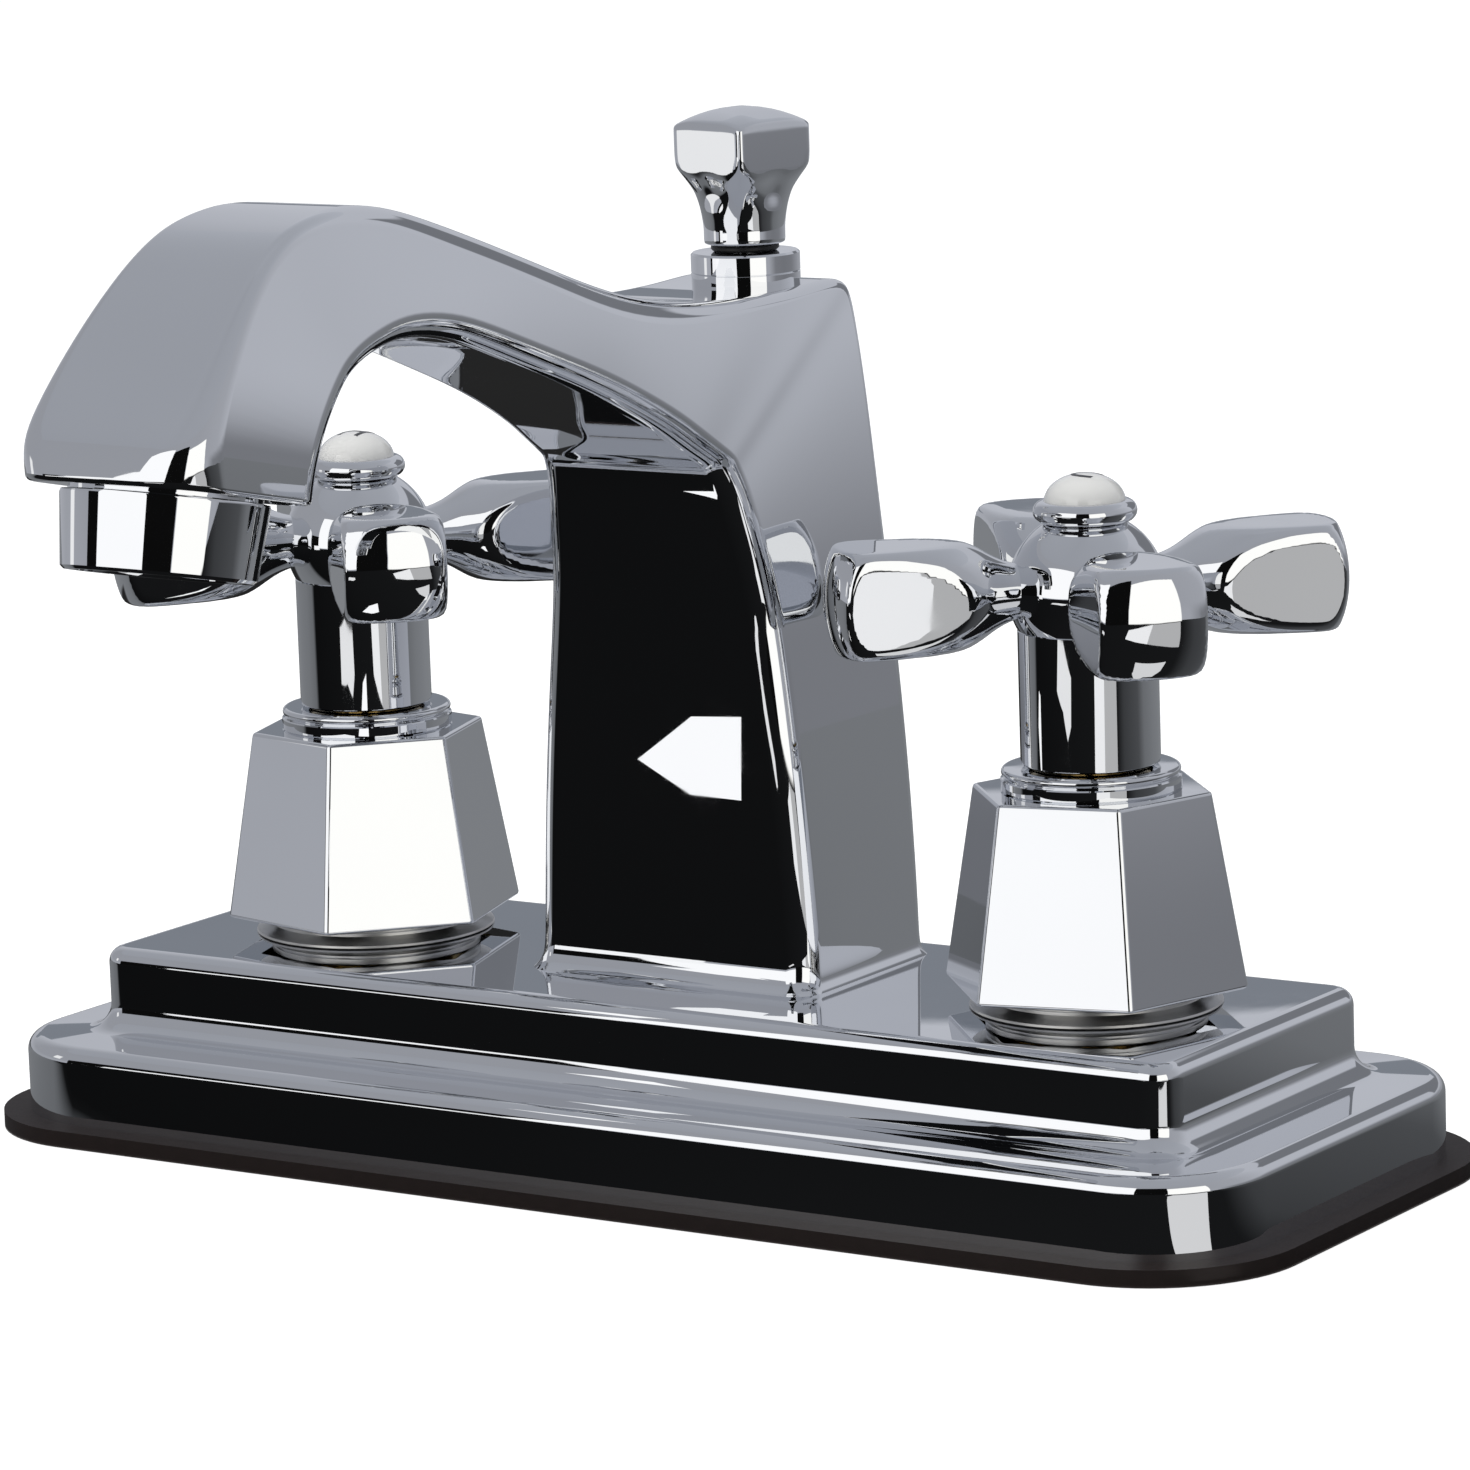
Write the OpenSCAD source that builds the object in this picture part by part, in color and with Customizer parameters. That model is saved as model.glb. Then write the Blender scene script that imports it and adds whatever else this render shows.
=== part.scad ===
// Centerset bathroom faucet: two cross handles on hexagonal bells, a cast arched spout and a pop-up lift rod
// Frame: origin on the deck face at the middle of the faucet, X to the cold side, -Y towards the user, Z up

/* [Base] */
// Distance between the two valve centres (standard 4 inch centres)
valve_spacing = 101.6; // [98:0.1:106]
// Thickness of the rubber gasket
gasket_t = 2; // [1:0.1:4]
// How far the gasket stands out past the base plate
gasket_lip = 3.3; // [1:0.1:5]
// Width of the base plate along X
base_w = 169; // [164:0.5:180]
// Depth of the base plate along Y
base_d = 66.5; // [62:0.5:74]
// How far the middle of the base plate lies in front of the valve line
base_forward = 2.25; // [1:0.25:3]
// Height of the base plate
base_h = 19.4; // [17:0.1:23]
// Outer corner radius of the base plate
base_corner = 13.8; // [13.6:0.1:15]
// Width of the ledge between the two tiers
ledge_w = 10.3; // [9:0.1:10.6]
// Height of the lower tier at its edge
lower_tier_h = 9.2; // [8:0.1:10]
// Radius of the two upper edges
tier_round = 1.9; // [1:0.1:2.5]
// Radius of the cove at the foot of the upper tier
cove_r = 3; // [2:0.1:4]
// Wall thickness of the base plate
base_wall = 2.2; // [1.5:0.1:2.4]

/* [Valves] */
// Outer radius of a valve body below the base plate
valve_r = 12.6; // [12.3:0.1:13.5]
// Outer radius of the threaded valve neck that passes the base plate
neck_r = 11.6; // [11:0.1:12]
// Height of the valve neck above the base plate
neck_rise = 2; // [1.5:0.1:2.2]
// Radius of the cartridge chamber
chamber_r = 9.05; // [8.8:0.05:9.3]
// Height of the chamber floor above the deck face
chamber_floor = 12.4; // [11:0.1:14]
// Outer radius of an inlet shank (half inch pipe thread)
shank_r = 10.4; // [10.2:0.05:10.6]
// Length of an inlet shank below the base plate
shank_len = 57; // [45:1:70]
// Bore radius of an inlet shank
shank_bore_r = 6; // [4:0.1:7]
// Length of the shank's spigot inside the valve body
spigot_len = 8; // [6:0.5:9]
// Outer radius of the clamp ring under a bell
clamp_r = 14.5; // [14.2:0.1:15]
// Height of the clamp ring
clamp_h = 2.4; // [2.3:0.1:3]
// Radius of the tubes that join the valves to the middle
crossbar_r = 7; // [6:0.1:7.3]
// Bore radius of those tubes
crossbar_bore_r = 4; // [3:0.1:4.5]
// Radius of the middle boss under the spout
outlet_boss_r = 8; // [7.5:0.1:8.2]
// Place of the water outlet behind (+) or in front (-) of the valve line
outlet_y = -2.1; // [-2.3:0.1:-1.9]
// Radius of the nipple between the middle boss and the spout
nipple_r = 4.8; // [4.4:0.1:4.9]
// Bore radius of the nipple
nipple_bore_r = 3.4; // [2.6:0.1:3.7]
// How far the nipple reaches into the spout
nipple_rise = 12; // [9:0.5:14]

/* [Bells and collars] */
// Corner radius of the hexagonal bell at its foot
bell_foot_r = 18.1; // [17.8:0.1:18.6]
// Corner radius of the hexagonal bell at its top
bell_top_r = 14.2; // [13.8:0.1:15]
// Height of the bell
bell_h = 22.5; // [21:0.5:26]
// Radius of the bell's hollow at its foot
bell_hollow_foot_r = 12.6; // [12.2:0.1:13]
// Radius of the bell's hollow at its top
bell_hollow_top_r = 9.6; // [9:0.1:10.2]
// Thickness of the bell's roof
bell_roof = 2.4; // [1.8:0.1:3]
// Angle of the first bell corner on the hot side
hot_bell_turn = 47.1; // [0:0.1:60]
// Angle of the first bell corner on the cold side
cold_bell_turn = 12.7; // [0:0.1:60]
// Radius of the collar on top of the bell
collar_r = 10.3; // [9.6:0.1:11]
// Height of the collar
collar_h = 2.6; // [2:0.1:4]

/* [Cartridges] */
// Radius of the cartridge's threaded barrel
barrel_r = 7; // [6.6:0.1:7.3]
// Radius of the cartridge's flange
flange_r = 11.3; // [11:0.1:11.5]
// Thickness of the cartridge's flange
flange_t = 1.6; // [1.2:0.1:2]
// Corner radius of the cartridge's hexagon
hexagon_r = 10.4; // [10:0.1:10.6]
// Height of the cartridge's hexagon
hexagon_h = 5; // [4:0.1:6]
// Radius of the disc cage inside the cartridge
cage_r = 7.6; // [7.4:0.1:7.8]
// Thickness of the rubber seat seal
seal_t = 1.6; // [1.2:0.1:2]
// Thickness of each ceramic disc
disc_t = 2.4; // [2:0.1:3]
// Thickness of the stem's driving flange
drive_t = 2; // [1.5:0.1:2.5]
// Radius of the stem
stem_r = 4; // [3.6:0.1:4.4]

/* [Cross handles] */
// Radius of the sleeve under the cross
sleeve_r = 7.95; // [7.6:0.05:8.4]
// Wall thickness of the sleeve
sleeve_wall = 1.1; // [0.8:0.1:1.2]
// Length of the sleeve
sleeve_len = 15.3; // [13:0.1:18]
// Running gap between the collar and the sleeve
sleeve_gap = 0.3; // [0.2:0.05:0.6]
// Radius of the ball in the middle of the cross
ball_r = 9; // [8.6:0.1:9.6]
// Height of the ball's middle above the top of the sleeve
ball_rise = 4.4; // [4:0.1:5]
// Distance from the handle's axis to the end of an arm
arm_reach = 30; // [26:0.5:34]
// Half width of the square end of an arm
arm_half = 6.1; // [5.5:0.1:6.8]
// Corner radius of that square end
arm_corner = 1.9; // [1.5:0.1:2.5]
// Radius of an arm's neck beside the ball
arm_neck_r = 3.05; // [2.8:0.05:3.4]
// Height of the arms above the ball's middle
arm_rise = 0.4; // [0:0.1:1]
// Radius of the chrome bezel under the index button
bezel_r = 5.9; // [5.6:0.1:6.4]
// Height of the bezel
bezel_h = 2.5; // [2:0.1:3]
// Radius of the porcelain index button
button_r = 5.2; // [4.8:0.1:5.5]
// Height of the button's dome above the bezel
button_rise = 3; // [2:0.1:3.6]
// Depth of the pocket for the handle screw
screw_pocket = 7; // [6:0.1:8]

/* [Spout] */
// Width of the column's foot
foot_w = 38.4; // [35:0.2:40]
// Width of the column at its top
top_w = 21.8; // [20.5:0.2:24]
// How far the column's foot reaches in front of the valve line
column_front = 11.2; // [11:0.1:12.5]
// How far the column's top reaches behind the valve line
column_back = 16.2; // [15.6:0.1:18]
// Height of the column's saddle above the base plate
saddle_h = 79.3; // [77:0.5:84]
// Height of the spout's crest above the saddle
crest_rise = 18.6; // [16:0.1:22]
// Upright thickness of the spout's neck at the middle of the arch
neck_t = 12.6; // [11:0.2:14]
// Width of the neck
neck_w = 21.8; // [20.5:0.2:24]
// Distance from the valve line to the middle of the mouth
spout_reach = 101.1; // [97:0.5:108]
// Height of the middle of the mouth above the base plate
mouth_h = 69.9; // [68:0.5:72]
// Forward tilt of the mouth in degrees
mouth_tilt = 12.5; // [8:0.5:16]
// Width of the mouth
mouth_w = 24.6; // [24:0.2:27]
// Depth of the mouth from front to back
mouth_d = 25; // [24.6:0.2:27]
// Wall of the spout above and below its water channel
spout_wall = 2.6; // [2:0.1:3]
// Width of the water channel
channel_w = 13; // [10:0.5:14]

/* [Aerator] */
// Radius of the aerator at the mouth
aerator_r = 11; // [10.7:0.1:11.3]
// Radius of the aerator at its lower end
aerator_tip_r = 10.3; // [10:0.1:11]
// Height of the visible part of the aerator
aerator_h = 8.7; // [7:0.1:11]
// Radius of the aerator's thread inside the mouth
aerator_thread_r = 9.6; // [9.2:0.1:9.8]
// Height of that thread
aerator_thread_h = 3.8; // [3:0.1:4]
// Bore radius of the aerator
aerator_bore_r = 8.4; // [8:0.1:8.7]
// Thickness of the rubber washer above it
washer_t = 1.2; // [0.8:0.1:1.4]

/* [Lift rod] */
// Distance of the lift rod behind the valve line
rod_y = 9.6; // [9.4:0.1:9.8]
// Radius of the lift rod
rod_r = 2.4; // [2:0.1:2.5]
// Length of the lift rod below the deck face
rod_below = 80; // [60:1:120]
// Outer radius of the rod's guide collar
guide_r = 6.4; // [5.8:0.1:6.6]
// Height of the guide collar above the saddle
guide_h = 3.9; // [3:0.1:5]
// Depth of the flat seat cut into the saddle for the guide collar
guide_sink = 0.5; // [0.4:0.1:1]
// Length of the guide collar's spigot inside the column
guide_spigot = 9; // [6:0.5:12]
// Thickness of the rubber ring under the knob
knob_ring_t = 0.8; // [0.6:0.1:1.2]
// Outer radius of that ring
knob_ring_r = 4; // [3.4:0.1:4.6]
// Height of the knob
knob_h = 15.9; // [14:0.5:19]
// Half width of the knob's square head
knob_half = 5.9; // [5.4:0.1:6.4]
// Corner radius of the knob's square head
knob_corner = 1.2; // [0.8:0.1:1.6]
// Radius of the knob's neck
knob_neck_r = 4.75; // [4.4:0.05:5]
// Angle that the knob is turned about its rod
knob_turn = -13; // [-45:1:45]

/* [Hidden] */
$fn = 48;

// Clearances between pieces that screw or slide into each other, and of the discs
fit = 0.05;
slack = 0.5;
pin_slack = 1.2;
// Heights above the deck face
deck_z = gasket_t + base_h;
neck_top = deck_z + neck_rise;
bell_z = deck_z + clamp_h;
collar_z = bell_z + bell_h;
sleeve_z = collar_z + collar_h + sleeve_gap;
ball_z = sleeve_z + sleeve_len + ball_rise;
arm_z = ball_z + arm_rise;
bezel_z = ball_z + ball_r - 1.2;
saddle_z = deck_z + saddle_h;
mouth_z = deck_z + mouth_h;
guide_z = saddle_z - guide_sink;
guide_top = saddle_z + guide_h;
knob_ring_z = guide_top + 0.1;
knob_z = knob_ring_z + knob_ring_t;
boss_top = deck_z - base_wall - 0.2;
shank_hole_r = shank_r + pin_slack;
valve_x = valve_spacing / 2;
crossbar_z = gasket_t + 8.2;
nipple_seat = crossbar_z + crossbar_bore_r + 0.3;
nipple_top = deck_z + nipple_rise;
ring_seat_r = nipple_r + 1.7;
spigot_r = shank_r - 1;
barrel_top = collar_z + collar_h - 0.4;
seal_top = chamber_floor + seal_t;
turning_z = seal_top + disc_t + fit;
drive_z = turning_z + disc_t;
drive_top = drive_z + drive_t;
stem_top = ball_z + ball_r - 1.2 - screw_pocket - 0.6;
rod_bore_r = rod_r + 0.8;
socket_h = aerator_thread_h + washer_t;

// Points of an arc about c, with radius r, from angle a to angle b in n steps
function arc(c, r, a, b, n = 6) =
    [for (i = [0:n]) c + r * [cos(a + (b - a) * i / n), sin(a + (b - a) * i / n)]];

// Flat rectangle with round corners, centred on y
module plate_outline(w, d, y, r) {
    translate([0, y])
        union() {
            square([w - 2 * r, d], center = true);
            square([w, d - 2 * r], center = true);
            for (sx = [-1, 1], sy = [-1, 1]) translate([sx * (w / 2 - r), sy * (d / 2 - r)]) circle(r);
        }
}

// Half section of the two tiers, as distance in from the outer wall and height, with the wall thickness inset
function tier_section(inset) =
    let (r = max(0.3, tier_round - inset), top = base_h - inset, low = lower_tier_h - inset, cove_in = cove_r + inset,
         wall_x = -ledge_w - inset, edge_x = -inset)
    concat(
        [[edge_x, 0]],
        arc([edge_x - r, low - r], r, 0, 90),
        arc([wall_x + cove_in, low + 0.4 + cove_in], cove_in, -90, -180),
        arc([wall_x - r, top - r], r, 0, 90)
    );

// One tiered block: the section swept round a rectangle, with the middle filled
module tier_block(inset) {
    section = tier_section(inset);
    top = base_h - inset;
    long = base_w - 2 * base_corner;
    deep = base_d - 2 * base_corner;
    corner = concat([for (p = section) [p[0] + base_corner, p[1]]], [[0, top], [0, 0]]);
    translate([0, -base_forward, gasket_t])
        union() {
            for (s = [0, 180]) {
                rotate(s) translate([-long / 2, -deep / 2, 0]) rotate([90, 0, 90])
                    linear_extrude(long) mirror([1, 0]) polygon(corner);
                rotate(s) translate([long / 2, deep / 2, 0]) rotate([90, 0, 0])
                    linear_extrude(deep) polygon(corner);
            }
            for (sx = [0, 1], sy = [0, 1])
                mirror([sx, 0, 0]) mirror([0, sy, 0]) translate([long / 2, deep / 2, 0])
                    rotate_extrude(angle = 90) polygon(corner);
            translate([-long / 2, -deep / 2, 0]) cube([long, deep, top]);
        }
}

module deck_gasket() {
    color([0.09, 0.08, 0.08])
        linear_extrude(gasket_t)
            difference() {
                plate_outline(base_w + 2 * gasket_lip, base_d + 2 * gasket_lip, -base_forward,
                              base_corner + gasket_lip);
                for (sx = [-1, 1]) translate([sx * valve_x, 0]) circle(shank_hole_r);
                translate([0, rod_y]) circle(rod_r + pin_slack);
            }
}

module base_plate() {
    color([0.78, 0.79, 0.81])
        difference() {
            tier_block(0);
            translate([0, 0, -0.01]) tier_block(base_wall);
            for (sx = [-1, 1]) translate([sx * valve_x, 0, gasket_t]) cylinder(r = neck_r + slack, h = base_h + 1);
            translate([0, outlet_y, gasket_t]) cylinder(r = nipple_r + slack, h = base_h + 1);
            translate([0, rod_y, gasket_t]) cylinder(r = rod_r + slack, h = base_h + 1);
        }
}

// Cast brass body: two valve bodies, the tubes that join them and the outlet boss
module waterway_body() {
    side_port_x = valve_x - chamber_r - 2.6;
    color([0.72, 0.6, 0.32])
        difference() {
            union() {
                for (sx = [-1, 1]) translate([sx * valve_x, 0, 0]) {
                    translate([0, 0, gasket_t]) cylinder(r = valve_r, h = boss_top - gasket_t);
                    translate([0, 0, boss_top - 1]) cylinder(r = neck_r, h = neck_top - boss_top + 1);
                }
                translate([-valve_x, outlet_y, crossbar_z]) rotate([0, 90, 0])
                    cylinder(r = crossbar_r, h = valve_spacing);
                translate([0, outlet_y, gasket_t]) cylinder(r = outlet_boss_r, h = boss_top - gasket_t);
            }
            for (sx = [-1, 1]) translate([sx * valve_x, 0, 0]) {
                translate([0, 0, chamber_floor]) cylinder(r = chamber_r, h = neck_top);
                translate([0, 0, gasket_t - 1]) cylinder(r = spigot_r + fit, h = spigot_len + 1);
                cylinder(r = shank_bore_r, h = neck_top);
            }
            translate([-side_port_x, outlet_y, crossbar_z]) rotate([0, 90, 0])
                cylinder(r = crossbar_bore_r, h = 2 * side_port_x);
            for (sx = [-1, 1]) translate([sx * side_port_x, outlet_y, crossbar_z])
                rotate([0, sx * 25, 0]) translate([0, 0, -1]) cylinder(r = 2, h = chamber_floor - crossbar_z + 7);
            translate([0, outlet_y, crossbar_z]) cylinder(r = nipple_bore_r, h = base_h);
            translate([0, outlet_y, nipple_seat]) cylinder(r = nipple_r + fit, h = base_h);
        }
}

module outlet_nipple() {
    color([0.75, 0.62, 0.33])
        translate([0, outlet_y, nipple_seat])
            difference() {
                cylinder(r = nipple_r, h = nipple_top - nipple_seat);
                translate([0, 0, -1]) cylinder(r = nipple_bore_r, h = nipple_top - nipple_seat + 2);
            }
}

module nipple_o_ring() {
    section_r = (ring_seat_r - nipple_r - fit) / 2;
    color([0.1, 0.1, 0.1])
        translate([0, outlet_y, deck_z + section_r + fit])
            rotate_extrude() translate([nipple_r + section_r + fit / 2, 0]) circle(section_r, $fn = 24);
}

module inlet_shank() {
    color([0.75, 0.62, 0.33])
        difference() {
            union() {
                translate([0, 0, gasket_t - shank_len]) cylinder(r = shank_r, h = shank_len);
                translate([0, 0, gasket_t]) cylinder(r = spigot_r, h = spigot_len);
            }
            translate([0, 0, gasket_t - shank_len - 1]) cylinder(r = shank_bore_r, h = shank_len + spigot_len + 2);
        }
}

// Threaded ring that clamps the base plate to the valve body, with a machined groove round it
module clamp_ring() {
    groove = 0.35;
    color([0.55, 0.54, 0.52])
        translate([0, 0, deck_z])
            rotate_extrude()
                polygon([
                    [neck_r + fit, 0], [clamp_r - 0.3, 0], [clamp_r, 0.3], [clamp_r, clamp_h / 2 - groove],
                    [clamp_r - groove, clamp_h / 2], [clamp_r, clamp_h / 2 + groove],
                    [clamp_r, clamp_h - 0.3], [clamp_r - 0.3, clamp_h], [neck_r + fit, clamp_h]
                ]);
}

// Hexagonal bell that hides the cartridge: hollow, open below, with a hole in its roof for the barrel
module bell(turn) {
    color([0.8, 0.81, 0.83])
        translate([0, 0, bell_z])
            difference() {
                rotate(turn) cylinder(r1 = bell_foot_r, r2 = bell_top_r, h = bell_h, $fn = 6);
                translate([0, 0, -0.01])
                    cylinder(r1 = bell_hollow_foot_r, r2 = bell_hollow_top_r, h = bell_h - bell_roof);
                cylinder(r = barrel_r + fit, h = bell_h + 1);
            }
}

// Nut on the barrel that holds the bell down, with a bead round its upper edge
module collar() {
    inner = barrel_r + fit;
    bead = 0.5;
    color([0.8, 0.81, 0.83])
        translate([0, 0, collar_z])
            rotate_extrude()
                polygon(concat(
                    [[inner, 0], [collar_r - 0.2, 0], [collar_r, 0.2], [collar_r, collar_h * 0.62],
                     [collar_r - 0.3, collar_h * 0.62 + 0.15]],
                    arc([collar_r - 0.1 - bead, collar_h - bead], bead, 0, 90),
                    [[inner, collar_h]]
                ));
}

// Quarter-turn cartridge body: cage for the discs, flange, hexagon and threaded barrel
module cartridge() {
    color([0.74, 0.62, 0.34])
        difference() {
            union() {
                translate([0, 0, seal_top]) cylinder(r = chamber_r - fit, h = neck_top - seal_top + 0.5);
                translate([0, 0, neck_top]) cylinder(r = flange_r, h = flange_t);
                translate([0, 0, neck_top + flange_t]) cylinder(r = hexagon_r, h = hexagon_h, $fn = 6);
                translate([0, 0, neck_top]) cylinder(r = barrel_r, h = barrel_top - neck_top);
            }
            translate([0, 0, seal_top - 1]) cylinder(r = cage_r, h = drive_top + fit - seal_top + 1);
            translate([0, 0, seal_top]) cylinder(r = stem_r + fit, h = barrel_top);
            for (a = [0:90:270]) rotate(a) translate([0, 0, turning_z + disc_t / 2]) rotate([0, 90, 0])
                cylinder(r = 1.8, h = valve_r);
        }
}

module seat_seal() {
    color([0.12, 0.12, 0.13])
        translate([0, 0, chamber_floor])
            difference() {
                cylinder(r = cage_r - 0.1, h = seal_t);
                translate([0, 0, -1]) cylinder(r = shank_bore_r - 1, h = seal_t + 2);
            }
}

// Ceramic disc with two sector-like ports
module ceramic_disc(z) {
    port_r = 1.7;
    color([0.93, 0.92, 0.88])
        translate([0, 0, z])
            difference() {
                cylinder(r = cage_r - 0.15, h = disc_t);
                for (sx = [-1, 1]) translate([sx * 3.6, 0, -1]) cylinder(r = port_r, h = disc_t + 2);
            }
}

// Brass stem: driving flange at its foot, round shaft, square broach for the handle and a screw hole
module stem() {
    square_half = stem_r * 0.68;
    square_z = sleeve_z + sleeve_len - 8;
    color([0.74, 0.62, 0.34])
        difference() {
            union() {
                translate([0, 0, drive_z]) cylinder(r = cage_r - 0.15, h = drive_t);
                translate([0, 0, drive_z]) cylinder(r = stem_r, h = square_z - drive_z);
                translate([-square_half, -square_half, square_z - 0.5])
                    cube([2 * square_half, 2 * square_half, stem_top - square_z + 0.5]);
            }
            translate([0, 0, stem_top - 9]) cylinder(r = 1.5, h = 10);
        }
}

module sleeve() {
    color([0.8, 0.81, 0.83])
        translate([0, 0, sleeve_z])
            difference() {
                cylinder(r = sleeve_r, h = sleeve_len);
                translate([0, 0, -1]) cylinder(r = sleeve_r - sleeve_wall, h = sleeve_len + 2);
            }
}

// Flared round bar that becomes an arm once a square prism cuts it: radius at each distance along the arm
module arm_flare() {
    full = arm_half * 1.36;
    polygon([
        [0, 0], [arm_neck_r, 0], [arm_neck_r, 7.2], [arm_neck_r * 1.09, 8.6], [arm_neck_r * 1.35, 10.4],
        [arm_half * 0.86, 12.5], [arm_half, 14.2], [arm_half * 1.14, 16.4], [arm_half * 1.26, 19],
        [full, 22.5], [full, arm_reach - 2], [full - 0.6, arm_reach - 0.8], [full - 2, arm_reach], [0, arm_reach]
    ]);
}

module arm() {
    straight = arm_half - arm_corner;
    rotate([0, 90, 0])
        intersection() {
            rotate_extrude() arm_flare();
            union() {
                translate([-arm_half, -straight, 0]) cube([2 * arm_half, 2 * straight, arm_reach]);
                translate([-straight, -arm_half, 0]) cube([2 * straight, 2 * arm_half, arm_reach]);
                for (sx = [-1, 1], sy = [-1, 1])
                    translate([sx * straight, sy * straight, 0]) cylinder(r = arm_corner, h = arm_reach);
            }
        }
}

// Cast cross: ball, four arms, a spigot that fills the top of the sleeve, a broach for the stem and a screw pocket
module cross_handle() {
    spigot_r = sleeve_r - sleeve_wall - fit;
    spigot = 6;
    sleeve_top = sleeve_z + sleeve_len;
    broach = stem_r * 0.68 + fit;
    top_z = bezel_z;
    color([0.8, 0.81, 0.83])
        difference() {
            union() {
                difference() {
                    translate([0, 0, ball_z]) sphere(r = ball_r, $fn = 64);
                    translate([-20, -20, sleeve_top - 40]) cube([40, 40, 40]);
                }
                for (i = [0:3]) translate([0, 0, arm_z]) rotate(45 + 90 * i) arm();
                translate([0, 0, sleeve_top - spigot]) cylinder(r = spigot_r, h = spigot + 1);
            }
            translate([-20, -20, top_z]) cube([40, 40, 20]);
            translate([-broach, -broach, sleeve_top - spigot - 1])
                cube([2 * broach, 2 * broach, top_z - screw_pocket - sleeve_top + spigot + 1.01 - 0.5]);
            translate([0, 0, sleeve_top - spigot]) cylinder(r = 1.7, h = top_z);
            translate([0, 0, top_z - screw_pocket]) cylinder(r = 3.4, h = screw_pocket + 1);
        }
}

// Pan head screw that holds the cross on the stem
module handle_screw() {
    head_z = bezel_z - screw_pocket;
    color([0.6, 0.6, 0.6])
        difference() {
            union() {
                translate([0, 0, head_z]) cylinder(r = 3, h = 2);
                translate([0, 0, stem_top - 8.5]) cylinder(r = 1.45, h = head_z - stem_top + 9);
            }
            translate([0, 0, head_z + 1]) cylinder(r = 1.3, h = 2, $fn = 6);
        }
}

// Chrome bezel: a round bead with a plug that presses into the screw pocket, open in the middle for the button
module bezel() {
    bead = bezel_h / 2;
    color([0.82, 0.83, 0.85])
        translate([0, 0, bezel_z])
            rotate_extrude()
                polygon(concat(
                    [[2, -3.5], [3.35, -3.5], [3.35, 0], [bezel_r - bead, 0]],
                    arc([bezel_r - bead, bead], bead, -90, 90, 8),
                    [[button_r - 0.7, bezel_h], [button_r - 0.7, bezel_h - 1.2], [2, bezel_h - 1.2]]
                ));
}

// Porcelain button: a low dome with a round edge on a short stud
module button() {
    r = button_r - 0.75;
    dome_r = (r * r + button_rise * button_rise) / (2 * button_rise);
    lip = bezel_h - 1.2;
    half = asin(min(1, r / dome_r));
    span = button_rise > r ? 180 - half : half;
    color([0.96, 0.95, 0.93])
        translate([0, 0, bezel_z + lip])
            rotate_extrude()
                polygon(concat(
                    [[0, -2.5], [1.95, -2.5], [1.95, 0], [r, 0], [r, bezel_h - lip]],
                    [for (i = [1:8]) [dome_r * sin(span * (1 - i / 8)),
                                      bezel_h - lip + button_rise - dome_r + dome_r * cos(span * (1 - i / 8))]]
                ));
}

// Half width of the column at a height above the base plate: it draws in faster towards the top
function column_half(h) = foot_w / 2 - (foot_w - top_w) / 2 * pow(max(h, 0) / saddle_h, 1.5);

// Side view of the spout: each row joins a point on the inner curve (column front, arch, back of the head)
// to one on the outer curve (column back, saddle, crest, front of the head)
// [inner y, inner h, outer y, outer h, inner half width, outer half width, inner corner, outer corner]
crest_h = saddle_h + crest_rise;
mouth_dy = mouth_d / 2 * cos(mouth_tilt);
mouth_dh = mouth_d / 2 * sin(mouth_tilt);
head_back = -spout_reach + mouth_dy;
head_front = -spout_reach - mouth_dy;
head_h = crest_h - mouth_h;

// Row of the column: fi and fo are heights on the inner and outer side, in parts of the saddle's height
function column_row(fi, fo) =
    [-column_front - 1.1 * pow(fi, 1.5), fi * saddle_h, column_back - 1.5 * pow(1 - min(fo, 1), 2), fo * saddle_h,
     column_half(fi * saddle_h), column_half(fo * saddle_h), 3, 2.4];

// Row of the bend between column and neck: distances from the column's front and from its upper back edge
function bend_row(front, drop, back, rise) =
    [-column_front - front, saddle_h - drop, column_back - back, saddle_h + rise,
     column_half(saddle_h - drop) * (1 - front / 300), column_half(min(saddle_h + rise, saddle_h)), 3, 2];

// Row of the neck: f runs from the column's front to the head's back, g from the saddle to the crest;
// lag and thick place the inner point in front of and below the outer one, in neck thicknesses
function neck_row(f, g, lag, thick, w_in, w_out) =
    let (y = -column_front + (head_back + column_front) * f, h = saddle_h + crest_rise * g)
    [y - lag * neck_t, h - thick * neck_t, y, h, w_in * neck_w / 2, w_out * neck_w / 2, 3, 3];

// Row of the head: offsets from the mouth's back and front edges, heights in parts of the head's height
function head_row(in_dy, in_f, out_dy, out_f, w_in, w_out, r_in, r_out) =
    [head_back + in_dy, mouth_h - mouth_dh + in_f * head_h, head_front + out_dy, mouth_h + mouth_dh + out_f * head_h,
     w_in * mouth_w / 2, w_out * mouth_w / 2, r_in, r_out];

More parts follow.
